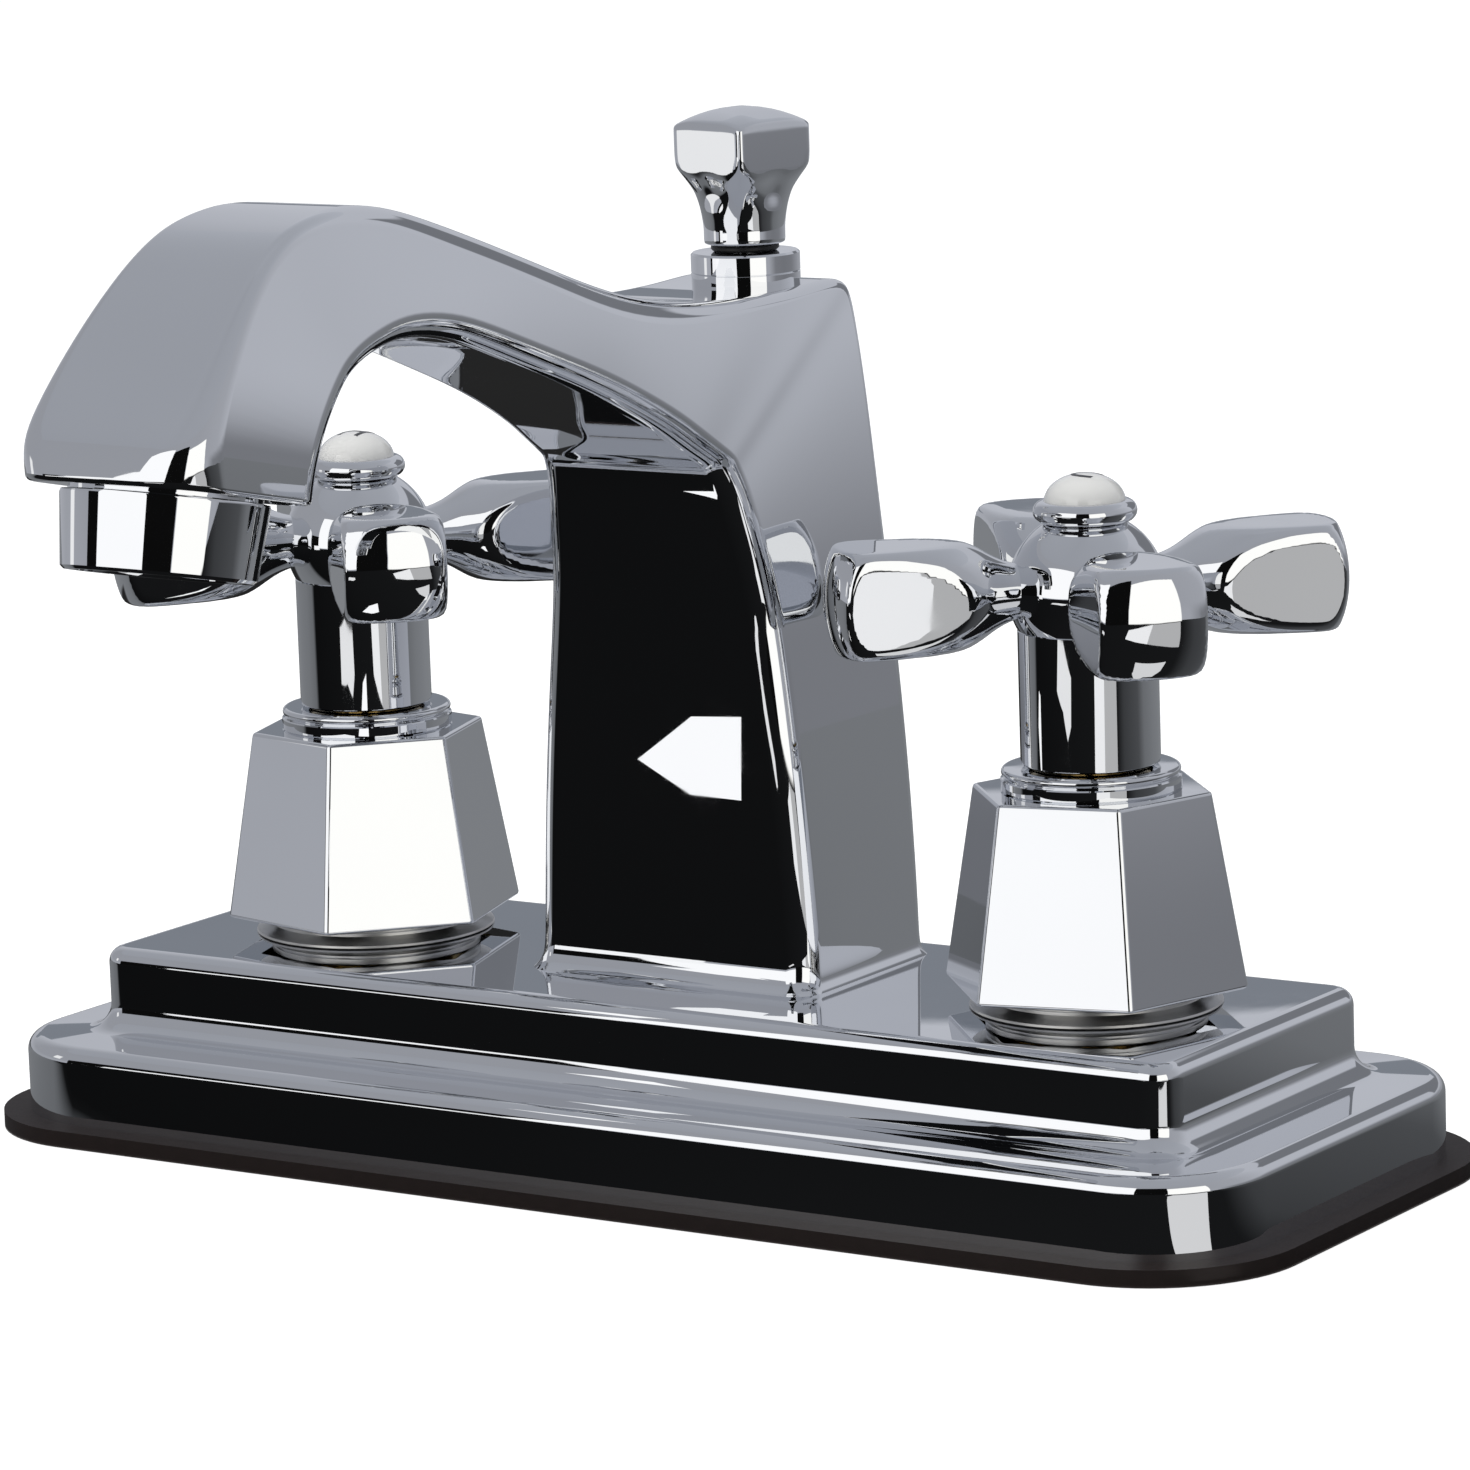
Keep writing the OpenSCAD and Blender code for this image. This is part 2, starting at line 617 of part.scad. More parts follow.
spout_rows = [
    column_row(0, 0),
    column_row(0.1, 0.1),
    column_row(0.28, 0.28),
    column_row(0.45, 0.47),
    column_row(0.58, 0.66),
    bend_row(2, 26.5, 0, -12.3),
    bend_row(3.1, 21.6, 0, -5),
    bend_row(4.2, 19.2, 0.1, -0.7),
    bend_row(5, 17.8, 1.5, 0.9),
    bend_row(7.1, 16.6, 11.2, 0.2),
    bend_row(9.9, 14.9, 22.2, 0.3),
    neck_row(0.062, 0.05, 0.73, 1.05, 1.13, 0.965),
    neck_row(0.216, 0.16, 0.45, 0.89, 1.065, 0.935),
    neck_row(0.364, 0.38, 0.14, 0.97, 1.035, 0.9),
    neck_row(0.525, 0.63, 0.04, 1.01, 1.01, 0.855),
    neck_row(0.654, 0.81, 0, 1, 1, 0.83),
    neck_row(0.77, 0.95, 0, 1.12, 1, 0.82),
    neck_row(0.885, 1, -0.27, 1.27, 1.02, 0.82),
    neck_row(0.968, 0.945, -0.52, 1.27, 1.04, 0.82),
    head_row(7.5, 0.457, 23, 0.825, 0.927, 0.735, 3.2, 3.4),
    head_row(6.1, 0.421, 17.5, 0.714, 0.935, 0.765, 3.4, 3.6),
    head_row(3.5, 0.321, 10.3, 0.479, 0.96, 0.88, 3.8, 3.8),
    head_row(1.3, 0.204, 3.8, 0.229, 0.975, 0.992, 4.2, 4.4),
    head_row(0.5, 0.107, 0.9, 0.118, 0.975, 1.02, 4.6, 6),
    head_row(0, 0, 0, 0, 0.975, 1, 5, 7.5)
];

// Smooth curve through four rows at u between the middle two
function through(a, b, c, d, u) =
    0.5 * (2 * b + (c - a) * u + (2 * a - 5 * b + 4 * c - d) * u * u + (3 * b - a - 3 * c + d) * u * u * u);

function smooth_rows(rows, steps) =
    let (n = len(rows))
    [for (i = [0:n - 2], k = [0:steps - 1])
        through(rows[max(i - 1, 0)], rows[i], rows[i + 1], rows[min(i + 2, n - 1)], k / steps),
     rows[n - 1]];

// Ring of points round one row: a four-sided section with round corners and straight, slightly drawn-in sides
function row_ring(row, steps) =
    let (inner = [row[0], row[1]], outer = [row[2], row[3]], span = norm(outer - inner), e = (outer - inner) / span)
    let (half = function (v) row[4] + (row[5] - row[4]) * v / span)
    let (right = concat(
        [[0, 0]],
        [for (i = [0:steps]) let (a = 90 * i / steps, v = row[6] * (1 - cos(a)))
            [half(v) - row[6] * (1 - sin(a)), v]],
        [for (i = [0:steps]) let (a = 90 * i / steps, v = span - row[7] * (1 - sin(a)))
            [half(v) - row[7] * (1 - cos(a)), v]],
        [[0, span]]))
    let (n = len(right))
    let (flat = concat(right, [for (i = [n - 2:-1:1]) [-right[i][0], right[i][1]]]))
    [for (p = flat) [p[0], inner[0] + e[0] * p[1], deck_z + inner[1] + e[1] * p[1]]];

module loft(rows, steps) {
    rings = [for (row = rows) row_ring(row, steps)];
    m = len(rings[0]);
    n = len(rings);
    polyhedron(
        points = [for (ring = rings) each ring],
        faces = concat(
            [[for (j = [0:m - 1]) j]],
            [for (i = [0:n - 2], j = [0:m - 1]) [i * m + j, (i + 1) * m + j, (i + 1) * m + (j + 1) % m]],
            [for (i = [0:n - 2], j = [0:m - 1]) [i * m + j, (i + 1) * m + (j + 1) % m, i * m + (j + 1) % m]],
            [[for (j = [m:-1:1]) (n - 1) * m + j % m]]
        )
    );
}

// Side view of the water channel: a point one wall inside the inner (or outer) curve of a row,
// kept in front of the lift rod's bore and below the saddle
function channel_point(row, outer) =
    let (inner_p = [row[0], row[1]], along = [row[2], row[3]] - inner_p, wall = spout_wall / norm(along),
         rod_front = rod_y - rod_bore_r - 2, roof = saddle_h - spout_wall - guide_sink - 0.5,
         by_rod = row[2] > rod_front ? (rod_front - row[0]) / along[0] : 1,
         by_roof = row[3] < saddle_h + 2 ? (roof - row[1]) / along[1] : 1)
    inner_p + along * (outer ? min(1 - wall, by_rod, by_roof) : wall);

// Cast water channel from the nipple's bore through the column and the neck into the head
module water_channel() {
    first = 4;
    last = len(spout_rows) - 3;
    rotate([90, 0, 90])
        translate([0, deck_z, -channel_w / 2])
            linear_extrude(channel_w)
                polygon(concat(
                    [for (i = [first:last]) channel_point(spout_rows[i], false)],
                    [for (i = [last:-1:first]) channel_point(spout_rows[i], true)]
                ));
}

// Local frame of the mouth: origin at its middle, Z up along the aerator's axis
module at_mouth() {
    translate([0, -spout_reach, mouth_z]) rotate([-mouth_tilt, 0, 0]) children();
}

// Threaded socket for the aerator, with the narrower chamber that feeds it
module mouth_socket() {
    thread_r = aerator_thread_r + fit;
    feed_r = aerator_thread_r - 3.5;
    rotate_extrude()
        polygon([
            [0, -1], [thread_r, -1], [thread_r, socket_h], [feed_r, socket_h],
            [feed_r, socket_h + 5], [0, socket_h + 5]
        ]);
}

// Cast spout: column, arch and head in one piece, with its water channel, rod bore and threaded mouth
module spout() {
    color([0.8, 0.81, 0.83])
        difference() {
            loft(smooth_rows(spout_rows, 2), 5);
            water_channel();
            translate([0, outlet_y, deck_z - 1]) cylinder(r = nipple_r + fit, h = 0.66 * saddle_h + 1);
            translate([0, outlet_y, deck_z - 1]) cylinder(r = ring_seat_r, h = ring_seat_r - nipple_r + 1);
            translate([0, rod_y, deck_z - 1]) cylinder(r = rod_bore_r, h = saddle_h + 10);
            translate([0, rod_y, guide_z]) cylinder(r = guide_r + 0.1, h = 10);
            at_mouth() mouth_socket();
        }
}

// Aerator housing: tapered shell below the mouth, with its thread inside the mouth
module aerator_housing() {
    color([0.8, 0.81, 0.83])
        at_mouth()
            rotate_extrude()
                polygon([
                    [aerator_bore_r, -aerator_h + 1.2], [aerator_bore_r + 0.3, -aerator_h],
                    [aerator_tip_r - 0.4, -aerator_h], [aerator_tip_r, -aerator_h + 0.4],
                    [aerator_r, -0.5], [aerator_r - 0.1, 0], [aerator_thread_r, 0],
                    [aerator_thread_r, aerator_thread_h], [aerator_bore_r, aerator_thread_h],
                    [aerator_bore_r, 0], [aerator_bore_r - 0.8, -1], [aerator_bore_r - 0.8, -1.6],
                    [aerator_bore_r, -1.6]
                ]);
}

// Plastic insert with rings of small holes that mixes air into the water
module aerator_insert() {
    r = aerator_bore_r - fit;
    color([0.85, 0.85, 0.83])
        at_mouth() translate([0, 0, -aerator_h + 1.3])
            difference() {
                cylinder(r = r, h = aerator_h - 3);
                for (ring = [[3, 6], [6, 12]], i = [0:ring[1] - 1])
                    rotate(360 * i / ring[1]) translate([ring[0], 0, -1]) cylinder(r = 0.7, h = aerator_h, $fn = 12);
            }
}

module aerator_washer() {
    color([0.1, 0.1, 0.1])
        at_mouth() translate([0, 0, aerator_thread_h])
            difference() {
                cylinder(r = aerator_thread_r - fit, h = washer_t - fit);
                translate([0, 0, -1]) cylinder(r = aerator_bore_r - 1, h = washer_t + 2);
            }
}

// Guide collar on the saddle: a ring with a spigot that lines the rod's bore
module guide_collar() {
    bore = rod_r + fit;
    height = guide_top - guide_z;
    edge = 0.3;
    color([0.82, 0.83, 0.85])
        translate([0, rod_y, guide_z])
            rotate_extrude()
                polygon([
                    [bore, -guide_spigot], [rod_bore_r - fit, -guide_spigot], [rod_bore_r - fit, 0],
                    [guide_r, 0], [guide_r, height - edge], [guide_r - edge, height], [bore, height]
                ]);
}

module lift_rod() {
    top = knob_z + knob_h - 5;
    color([0.8, 0.81, 0.83])
        translate([0, rod_y, -rod_below])
            union() {
                cylinder(r1 = rod_r - 0.5, r2 = rod_r, h = 0.5);
                translate([0, 0, 0.5]) cylinder(r = rod_r, h = rod_below + top - 0.5);
            }
}

// Flat rubber ring that cushions the knob on the guide collar
module knob_ring() {
    edge = 0.25;
    color([0.06, 0.06, 0.06])
        translate([0, rod_y, knob_ring_z])
            rotate_extrude()
                polygon([
                    [rod_r + fit, 0], [knob_ring_r - edge, 0], [knob_ring_r, edge],
                    [knob_ring_r, knob_ring_t - edge], [knob_ring_r - edge, knob_ring_t], [rod_r + fit, knob_ring_t]
                ]);
}

// Lift knob: a flared round neck that grows into a square head with a low pointed top
module lift_knob() {
    straight = knob_half - knob_corner;
    head = knob_h - 1.6;
    color([0.82, 0.83, 0.85])
        translate([0, rod_y, knob_z]) rotate(knob_turn)
            difference() {
                intersection() {
                    rotate_extrude()
                        polygon([
                            [0, 0], [knob_neck_r - 0.2, 0], [knob_neck_r, 0.3], [knob_neck_r * 1.01, knob_h * 0.14],
                            [knob_neck_r * 1.05, knob_h * 0.23], [knob_neck_r * 1.12, knob_h * 0.315],
                            [knob_half * 1.01, knob_h * 0.4], [knob_half * 1.18, knob_h * 0.49],
                            [knob_half * 1.33, knob_h * 0.575], [knob_half * 1.38, knob_h * 0.64],
                            [knob_half * 1.38, head], [0, knob_h]
                        ]);
                    union() {
                        translate([-knob_half, -straight, 0]) cube([2 * knob_half, 2 * straight, knob_h]);
                        translate([-straight, -knob_half, 0]) cube([2 * straight, 2 * knob_half, knob_h]);
                        for (sx = [-1, 1], sy = [-1, 1])
                            translate([sx * straight, sy * straight, 0]) cylinder(r = knob_corner, h = knob_h);
                    }
                }
                translate([0, 0, -1]) cylinder(r = rod_r + fit, h = knob_h - 4 + fit);
            }
}

module at_hot() { translate([-valve_x, 0, 0]) children(); }
module at_cold() { translate([valve_x, 0, 0]) children(); }

deck_gasket();
base_plate();
waterway_body();
outlet_nipple();
nipple_o_ring();
at_hot() inlet_shank();  // hot_inlet_shank
at_hot() clamp_ring();  // hot_clamp_ring
at_hot() bell(hot_bell_turn);  // hot_bell
at_hot() collar();  // hot_collar
at_hot() cartridge();  // hot_cartridge
at_hot() seat_seal();  // hot_seat_seal
at_hot() ceramic_disc(seal_top);  // hot_fixed_disc
at_hot() ceramic_disc(turning_z);  // hot_turning_disc
at_hot() stem();  // hot_stem
at_hot() sleeve();  // hot_sleeve
at_hot() cross_handle();  // hot_cross_handle
at_hot() handle_screw();  // hot_handle_screw
at_hot() bezel();  // hot_bezel
at_hot() button();  // hot_button
at_cold() inlet_shank();  // cold_inlet_shank
at_cold() clamp_ring();  // cold_clamp_ring
at_cold() bell(cold_bell_turn);  // cold_bell
at_cold() collar();  // cold_collar
at_cold() cartridge();  // cold_cartridge
at_cold() seat_seal();  // cold_seat_seal
at_cold() ceramic_disc(seal_top);  // cold_fixed_disc
at_cold() ceramic_disc(turning_z);  // cold_turning_disc
at_cold() stem();  // cold_stem
at_cold() sleeve();  // cold_sleeve
at_cold() cross_handle();  // cold_cross_handle
at_cold() handle_screw();  // cold_handle_screw
at_cold() bezel();  // cold_bezel
at_cold() button();  // cold_button
spout();
aerator_housing();
aerator_insert();
aerator_washer();
guide_collar();
lift_rod();
knob_ring();
lift_knob();
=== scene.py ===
# Centerset bathroom faucet with two cross handles, an arched cast spout and a pop-up lift rod.
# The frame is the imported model's: the origin on the deck face, X to the cold side, -Y towards the user and
# Z up. Sizes of the faucet are in millimetres and are turned into metres by MM. The studio is in metres.
import math

import bmesh
import bpy
from mathutils import Matrix, Vector


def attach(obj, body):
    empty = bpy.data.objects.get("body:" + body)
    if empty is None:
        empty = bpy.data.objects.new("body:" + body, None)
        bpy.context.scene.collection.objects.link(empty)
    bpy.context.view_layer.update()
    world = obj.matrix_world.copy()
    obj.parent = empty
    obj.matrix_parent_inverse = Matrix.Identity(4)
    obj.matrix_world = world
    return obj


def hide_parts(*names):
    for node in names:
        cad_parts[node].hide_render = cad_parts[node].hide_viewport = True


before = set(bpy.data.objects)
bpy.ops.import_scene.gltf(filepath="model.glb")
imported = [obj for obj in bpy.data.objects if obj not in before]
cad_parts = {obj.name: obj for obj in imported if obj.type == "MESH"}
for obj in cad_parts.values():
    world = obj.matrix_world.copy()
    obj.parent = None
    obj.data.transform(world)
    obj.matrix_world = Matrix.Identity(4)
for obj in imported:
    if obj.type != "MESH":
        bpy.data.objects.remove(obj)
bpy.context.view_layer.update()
bpy.ops.object.select_all(action="DESELECT")

# Camera: a long lens a little above the deck, from the front and to the right of the faucet. Its place,
# aim and roll were worked out from the base plate, the bells and the valve axes in the photo.
camera_at = Vector((0.425988, -0.638464, 0.187910))
camera_aim = Vector((0.002679, 0.0, 0.048815))
camera_roll = math.radians(-1.906)
bpy.ops.object.camera_add(location=camera_at)
camera = bpy.context.object
camera.data.lens = 162.95
camera.data.sensor_width = 36
camera.data.clip_start, camera.data.clip_end = 0.05, 50
look = (camera_at - camera_aim).to_track_quat("Z", "Y").to_matrix() @ Matrix.Rotation(camera_roll, 3, "Z")
camera.rotation_euler = look.to_euler()
bpy.context.scene.camera = camera

# Studio: a white table in a white room. Softboxes and cards that only mirrors see stand round the faucet,
# as a photographer sets them up for bright metal, inside a grey tent.
bpy.context.scene.view_settings.view_transform = "Standard"
world = bpy.data.worlds.new("white_room")
bpy.context.scene.world = world
world.use_nodes = True
tree = world.node_tree
tree.nodes.clear()


def seen_directly(tree):
    """1 for rays from the camera, a mirror or glass, else 0."""
    path = tree.nodes.new("ShaderNodeLightPath")
    first = tree.nodes.new("ShaderNodeMath")
    first.operation = "MAXIMUM"
    tree.links.new(path.outputs["Is Camera Ray"], first.inputs[0])
    tree.links.new(path.outputs["Is Glossy Ray"], first.inputs[1])
    both = tree.nodes.new("ShaderNodeMath")
    both.operation = "MAXIMUM"
    tree.links.new(first.outputs[0], both.inputs[0])
    tree.links.new(path.outputs["Is Transmission Ray"], both.inputs[1])
    return both.outputs[0]


room_light, room_white = tree.nodes.new("ShaderNodeBackground"), tree.nodes.new("ShaderNodeBackground")
room_light.inputs["Color"].default_value = (0.95, 0.97, 1, 1)
room_light.inputs["Strength"].default_value = 0.45
room_white.inputs["Color"].default_value = (1, 1, 1, 1)
room_white.inputs["Strength"].default_value = 1
room_mix, room_out = tree.nodes.new("ShaderNodeMixShader"), tree.nodes.new("ShaderNodeOutputWorld")
tree.links.new(seen_directly(tree), room_mix.inputs["Fac"])
tree.links.new(room_light.outputs[0], room_mix.inputs[1])
tree.links.new(room_white.outputs[0], room_mix.inputs[2])
tree.links.new(room_mix.outputs[0], room_out.inputs["Surface"])

bpy.ops.mesh.primitive_plane_add(size=8, location=(0, 0, -0.0001))
table = bpy.context.object
table.name = "table_top"
paper = bpy.data.materials.new("white_paper")
paper.use_nodes = True
tree = paper.node_tree
tree.nodes.clear()
paper_matt, paper_glow = tree.nodes.new("ShaderNodeBsdfDiffuse"), tree.nodes.new("ShaderNodeEmission")
paper_matt.inputs["Color"].default_value = (0.5, 0.5, 0.5, 1)
paper_glow.inputs["Color"].default_value = (1, 1, 1, 1)
paper_glow.inputs["Strength"].default_value = 0.8
paper_sum, paper_mix = tree.nodes.new("ShaderNodeAddShader"), tree.nodes.new("ShaderNodeMixShader")
paper_out = tree.nodes.new("ShaderNodeOutputMaterial")
tree.links.new(paper_matt.outputs[0], paper_sum.inputs[0])
tree.links.new(paper_glow.outputs[0], paper_sum.inputs[1])
tree.links.new(seen_directly(tree), paper_mix.inputs["Fac"])
tree.links.new(paper_matt.outputs[0], paper_mix.inputs[1])
tree.links.new(paper_sum.outputs[0], paper_mix.inputs[2])
tree.links.new(paper_mix.outputs[0], paper_out.inputs["Surface"])
table.data.materials.append(paper)


def soft_lamp(name, at, aim, size, watts):
    """A softbox lamp that lights matt things and doesn't show in mirrors, where a card stands for it."""
    bpy.ops.object.light_add(type="AREA", location=at)
    lamp = bpy.context.object
    lamp.name = name
    lamp.data.shape = "SQUARE"
    lamp.data.size = size
    lamp.data.energy = watts
    lamp.rotation_euler = (Vector(at) - Vector(aim)).to_track_quat("Z", "Y").to_euler()
    lamp.visible_glossy = False


soft_lamp("lamp_above", (0.2, -0.3, 1.4), (0, 0, 0), 1.4, 11)
soft_lamp("lamp_front", (-0.7, -1.1, 0.8), (0, 0, 0.05), 0.9, 5)


def only_in_mirrors(thing):
    """Stage cards show in the chrome alone: no camera, shadow or light of their own."""
    thing.visible_camera = thing.visible_diffuse = thing.visible_shadow = False
    thing.visible_transmission = thing.visible_volume_scatter = False


def card_paint(name, shade, fade=0.0, tint=(1, 1, 1)):
    """Even glow of a card, which fades out towards its rim over a part of its half width."""
    paint = bpy.data.materials.new(name)
    paint.use_nodes = True
    tree = paint.node_tree
    tree.nodes.clear()
    glow, out = tree.nodes.new("ShaderNodeEmission"), tree.nodes.new("ShaderNodeOutputMaterial")
    glow.inputs["Color"].default_value = (*tint, 1)
    glow.inputs["Strength"].default_value = shade
    if not fade:
        tree.links.new(glow.outputs[0], out.inputs["Surface"])
        return paint
    where, split = tree.nodes.new("ShaderNodeTexCoord"), tree.nodes.new("ShaderNodeSeparateXYZ")
    tree.links.new(where.outputs["UV"], split.inputs[0])
    rims = []
    for axis in (0, 1):
        from_middle, ramp = tree.nodes.new("ShaderNodeMath"), tree.nodes.new("ShaderNodeMapRange")
        from_middle.operation = "PINGPONG"
        from_middle.inputs[1].default_value = 0.5
        tree.links.new(split.outputs[axis], from_middle.inputs[0])
        ramp.interpolation_type = "SMOOTHSTEP"
        ramp.inputs["From Min"].default_value = 0.001
        ramp.inputs["From Max"].default_value = 0.5 * fade
        tree.links.new(from_middle.outputs[0], ramp.inputs["Value"])
        rims.append(ramp.outputs[0])
    both, clear, mix = (tree.nodes.new(n) for n in
                        ("ShaderNodeMath", "ShaderNodeBsdfTransparent", "ShaderNodeMixShader"))
    both.operation = "MULTIPLY"
    tree.links.new(rims[0], both.inputs[0])
    tree.links.new(rims[1], both.inputs[1])
    tree.links.new(both.outputs[0], mix.inputs["Fac"])
    tree.links.new(clear.outputs[0], mix.inputs[1])
    tree.links.new(glow.outputs[0], mix.inputs[2])
    tree.links.new(mix.outputs[0], out.inputs["Surface"])
    return paint


def card(name, left, right, low, high, distance, shade, fade=0.0, tint=(1, 1, 1)):
    """An upright card between two directions (degrees from -Y towards +X) and two heights."""
    middle, half = math.radians((left + right) / 2), math.radians((right - left) / 2)
    bpy.ops.mesh.primitive_plane_add(size=1)
    thing = bpy.context.object
    thing.name = name
    thing.scale = (2 * distance * math.tan(half), high - low, 1)
    thing.location = (math.sin(middle) * distance, -math.cos(middle) * distance, (low + high) / 2)
    thing.rotation_euler = (math.radians(90), 0, middle)
    thing.data.materials.append(card_paint(name + "_paint", shade, fade, tint))
    only_in_mirrors(thing)


def ramp_of(tree, value, stops, low, high):
    """Soft steps: stops are (place, shade) with places between low and high."""
    ramp, span = tree.nodes.new("ShaderNodeValToRGB"), tree.nodes.new("ShaderNodeMapRange")
    span.inputs["From Min"].default_value, span.inputs["From Max"].default_value = low, high
    tree.links.new(value, span.inputs["Value"])
    tree.links.new(span.outputs[0], ramp.inputs["Fac"])
    keys = ramp.color_ramp.elements
    for _ in stops[2:]:
        keys.new(0.5)
    for key, (_, shade) in zip(keys, stops):
        key.color = (shade, shade, shade, 1)
    for i in range(len(stops) - 1, -1, -1):
        keys[i].position = (stops[i][0] - low) / (high - low)
    return ramp.outputs["Color"]


def room_paint(name, low_stops, high_stops, z_low, z_high, tint):
    """Glow by direction round the faucet (degrees), from one row of shades at z_low to another at z_high."""
    paint = bpy.data.materials.new(name)
    paint.use_nodes = True
    tree = paint.node_tree
    tree.nodes.clear()
    where, split = tree.nodes.new("ShaderNodeTexCoord"), tree.nodes.new("ShaderNodeSeparateXYZ")
    tree.links.new(where.outputs["Object"], split.inputs[0])
    back, turn = tree.nodes.new("ShaderNodeMath"), tree.nodes.new("ShaderNodeMath")
    back.operation, turn.operation = "MULTIPLY", "ARCTAN2"
    back.inputs[1].default_value = -1
    tree.links.new(split.outputs["Y"], back.inputs[0])
    tree.links.new(split.outputs["X"], turn.inputs[0])
    tree.links.new(back.outputs[0], turn.inputs[1])
    rise, blend = tree.nodes.new("ShaderNodeMapRange"), tree.nodes.new("ShaderNodeMix")
    rise.interpolation_type = "SMOOTHSTEP"
    rise.inputs["From Min"].default_value, rise.inputs["From Max"].default_value = z_low, z_high
    tree.links.new(split.outputs["Z"], rise.inputs["Value"])
    blend.data_type = "RGBA"
    tree.links.new(rise.outputs[0], blend.inputs["Factor"])
    for socket, stops in (("A", low_stops), ("B", high_stops)):
        round_it = [(math.radians(at), shade) for at, shade in stops]
        shades = ramp_of(tree, turn.outputs[0], round_it, -math.pi, math.pi)
        tree.links.new(shades, blend.inputs[socket])
    tinted = tree.nodes.new("ShaderNodeMix")
    tinted.data_type, tinted.blend_type = "RGBA", "MULTIPLY"
    tinted.inputs["Factor"].default_value = 1
    tinted.inputs["B"].default_value = (*tint, 1)
    tree.links.new(blend.outputs["Result"], tinted.inputs["A"])
    glow, out = tree.nodes.new("ShaderNodeEmission"), tree.nodes.new("ShaderNodeOutputMaterial")
    tree.links.new(tinted.outputs["Result"], glow.inputs["Color"])
    tree.links.new(glow.outputs[0], out.inputs["Surface"])
    return paint


TENT_R, WALL_R, WALL_H, SHEET_Z, FLOOR_Z = 3, 0.72, 0.7, 0.0002, 0.0005
TENT_FOOT = [(-179, 0.54), (-140, 0.56), (-112, 0.4), (-100, 0.36), (-60, 0.36), (60, 0.38), (110, 0.42),
             (146, 0.54), (179, 0.54)]
TENT_TOP = [(-179, 0.42), (0, 0.38), (179, 0.42)]
bpy.ops.mesh.primitive_uv_sphere_add(segments=48, ring_count=24, radius=TENT_R)
tent = bpy.context.object
tent.name = "grey_tent"
tent.data.materials.append(room_paint("grey_tent_paint", TENT_FOOT, TENT_TOP, 1.4, 2.8, (0.94, 0.98, 1.08)))
only_in_mirrors(tent)
bpy.ops.mesh.primitive_cylinder_add(vertices=96, radius=WALL_R, depth=WALL_H, end_fill_type="NOTHING",
                                    location=(0, 0, WALL_H / 2))
bpy.ops.object.transform_apply(location=True)
wall = bpy.context.object
wall.name = "grey_wall"
WALL_FOOT = [(-179, 0.36), (-150, 0.42), (-120, 0.45), (-90, 0.4), (-48, 0.45), (0, 0.4), (84, 0.42),
             (100, 0.22), (122, 0.2), (146, 0.22), (165, 0.3), (179, 0.36)]
wall_paint = room_paint("grey_wall_paint", WALL_FOOT, TENT_FOOT, 0.03, 0.15, (0.95, 0.98, 1.07))
wall.data.materials.append(wall_paint)
only_in_mirrors(wall)
card("dim_back_band", -174, -118, 0.118, 0.168, 0.6, 0.24, fade=0.12, tint=(0.9, 0.98, 1.12))
card("dim_back", 152, 190, 0.1, 0.42, 0.59, 0.2, fade=0.2, tint=(0.94, 0.98, 1.08))
bpy.ops.mesh.primitive_plane_add(size=2.4, location=(0, 0, 0))
bpy.ops.object.transform_apply(location=True)
floor_sheet = bpy.context.object
floor_sheet.name = "floor_sheet"
floor_sheet.location.z = SHEET_Z
FLOOR = [(-179, 0.24), (-120, 0.24), (-78, 0.2), (-64, 0.16), (-59, 0.005), (78, 0.01), (88, 0.05),
         (112, 0.08), (124, 0.17), (146, 0.21), (179, 0.24)]
floor_sheet.data.materials.append(room_paint("floor_sheet_paint", FLOOR, FLOOR, -1, 1, (0.95, 0.99, 1.05)))
only_in_mirrors(floor_sheet)


def outline_card(name, corners, shade):
    """A card of any outline. Corners that state no height lie on the floor."""
    bpy.ops.mesh.primitive_circle_add(vertices=len(corners), radius=1, fill_type="NGON")
    thing = bpy.context.object
    thing.name = name
    for vertex, (x, y, *height) in zip(thing.data.vertices, corners):
        vertex.co = (x, y, height[0] if height else FLOOR_Z)
    thing.data.materials.append(card_paint(name + "_paint", shade))
    only_in_mirrors(thing)


outline_card("light_floor", [(0.2, -0.2), (0.3, -0.3), (0.5, -0.3), (0.21, -0.126)], 0.98)
outline_card("dim_floor", [(0.21, -0.126), (0.5, -0.3), (0.6, -0.14), (0.22, -0.05)], 0.5)
outline_card("corner_light", [(0.0825, -0.0345), (0.1, -0.06), (0.13, -0.085), (0.16, -0.05),
                              (0.0865, -0.03)], 0.75)
outline_card("column_patch", [(-0.0285, -0.0478, 0.0386), (-0.0209, -0.0479, 0.0346),
                              (-0.0135, -0.0481, 0.0344), (-0.0131, -0.0483, 0.0448),
                              (-0.0204, -0.0481, 0.0444)], 1.15)
outline_card("sleeve_streak", [(-0.08, -0.31), (-0.02, -0.31), (0.02, -0.29), (0.05, -0.305),
                               (0.06, -0.35), (-0.02, -0.38), (-0.08, -0.37)], 0.9)
bpy.ops.mesh.primitive_plane_add(size=1, location=(-0.16, 0.15, 0.0006))
dark_floor = bpy.context.object
dark_floor.name = "dark_back_left"
dark_floor.scale = (0.26, 0.26, 1)
dark_floor.data.materials.append(card_paint("dark_back_left_paint", 0.02, fade=0.2))
only_in_mirrors(dark_floor)
card("left_softbox_frame", -46, -33.4, 0.0, 0.17, 0.61, 0.004)
card("left_softbox", -33.6, 15, 0.02, 0.5, 0.6, 1.15)
card("low_left_card", -41, -32, -0.05, 0.05, 0.59, 1.1)
card("knob_card", -66, -57, 0.055, 0.12, 0.3, 0.95, fade=0.3)
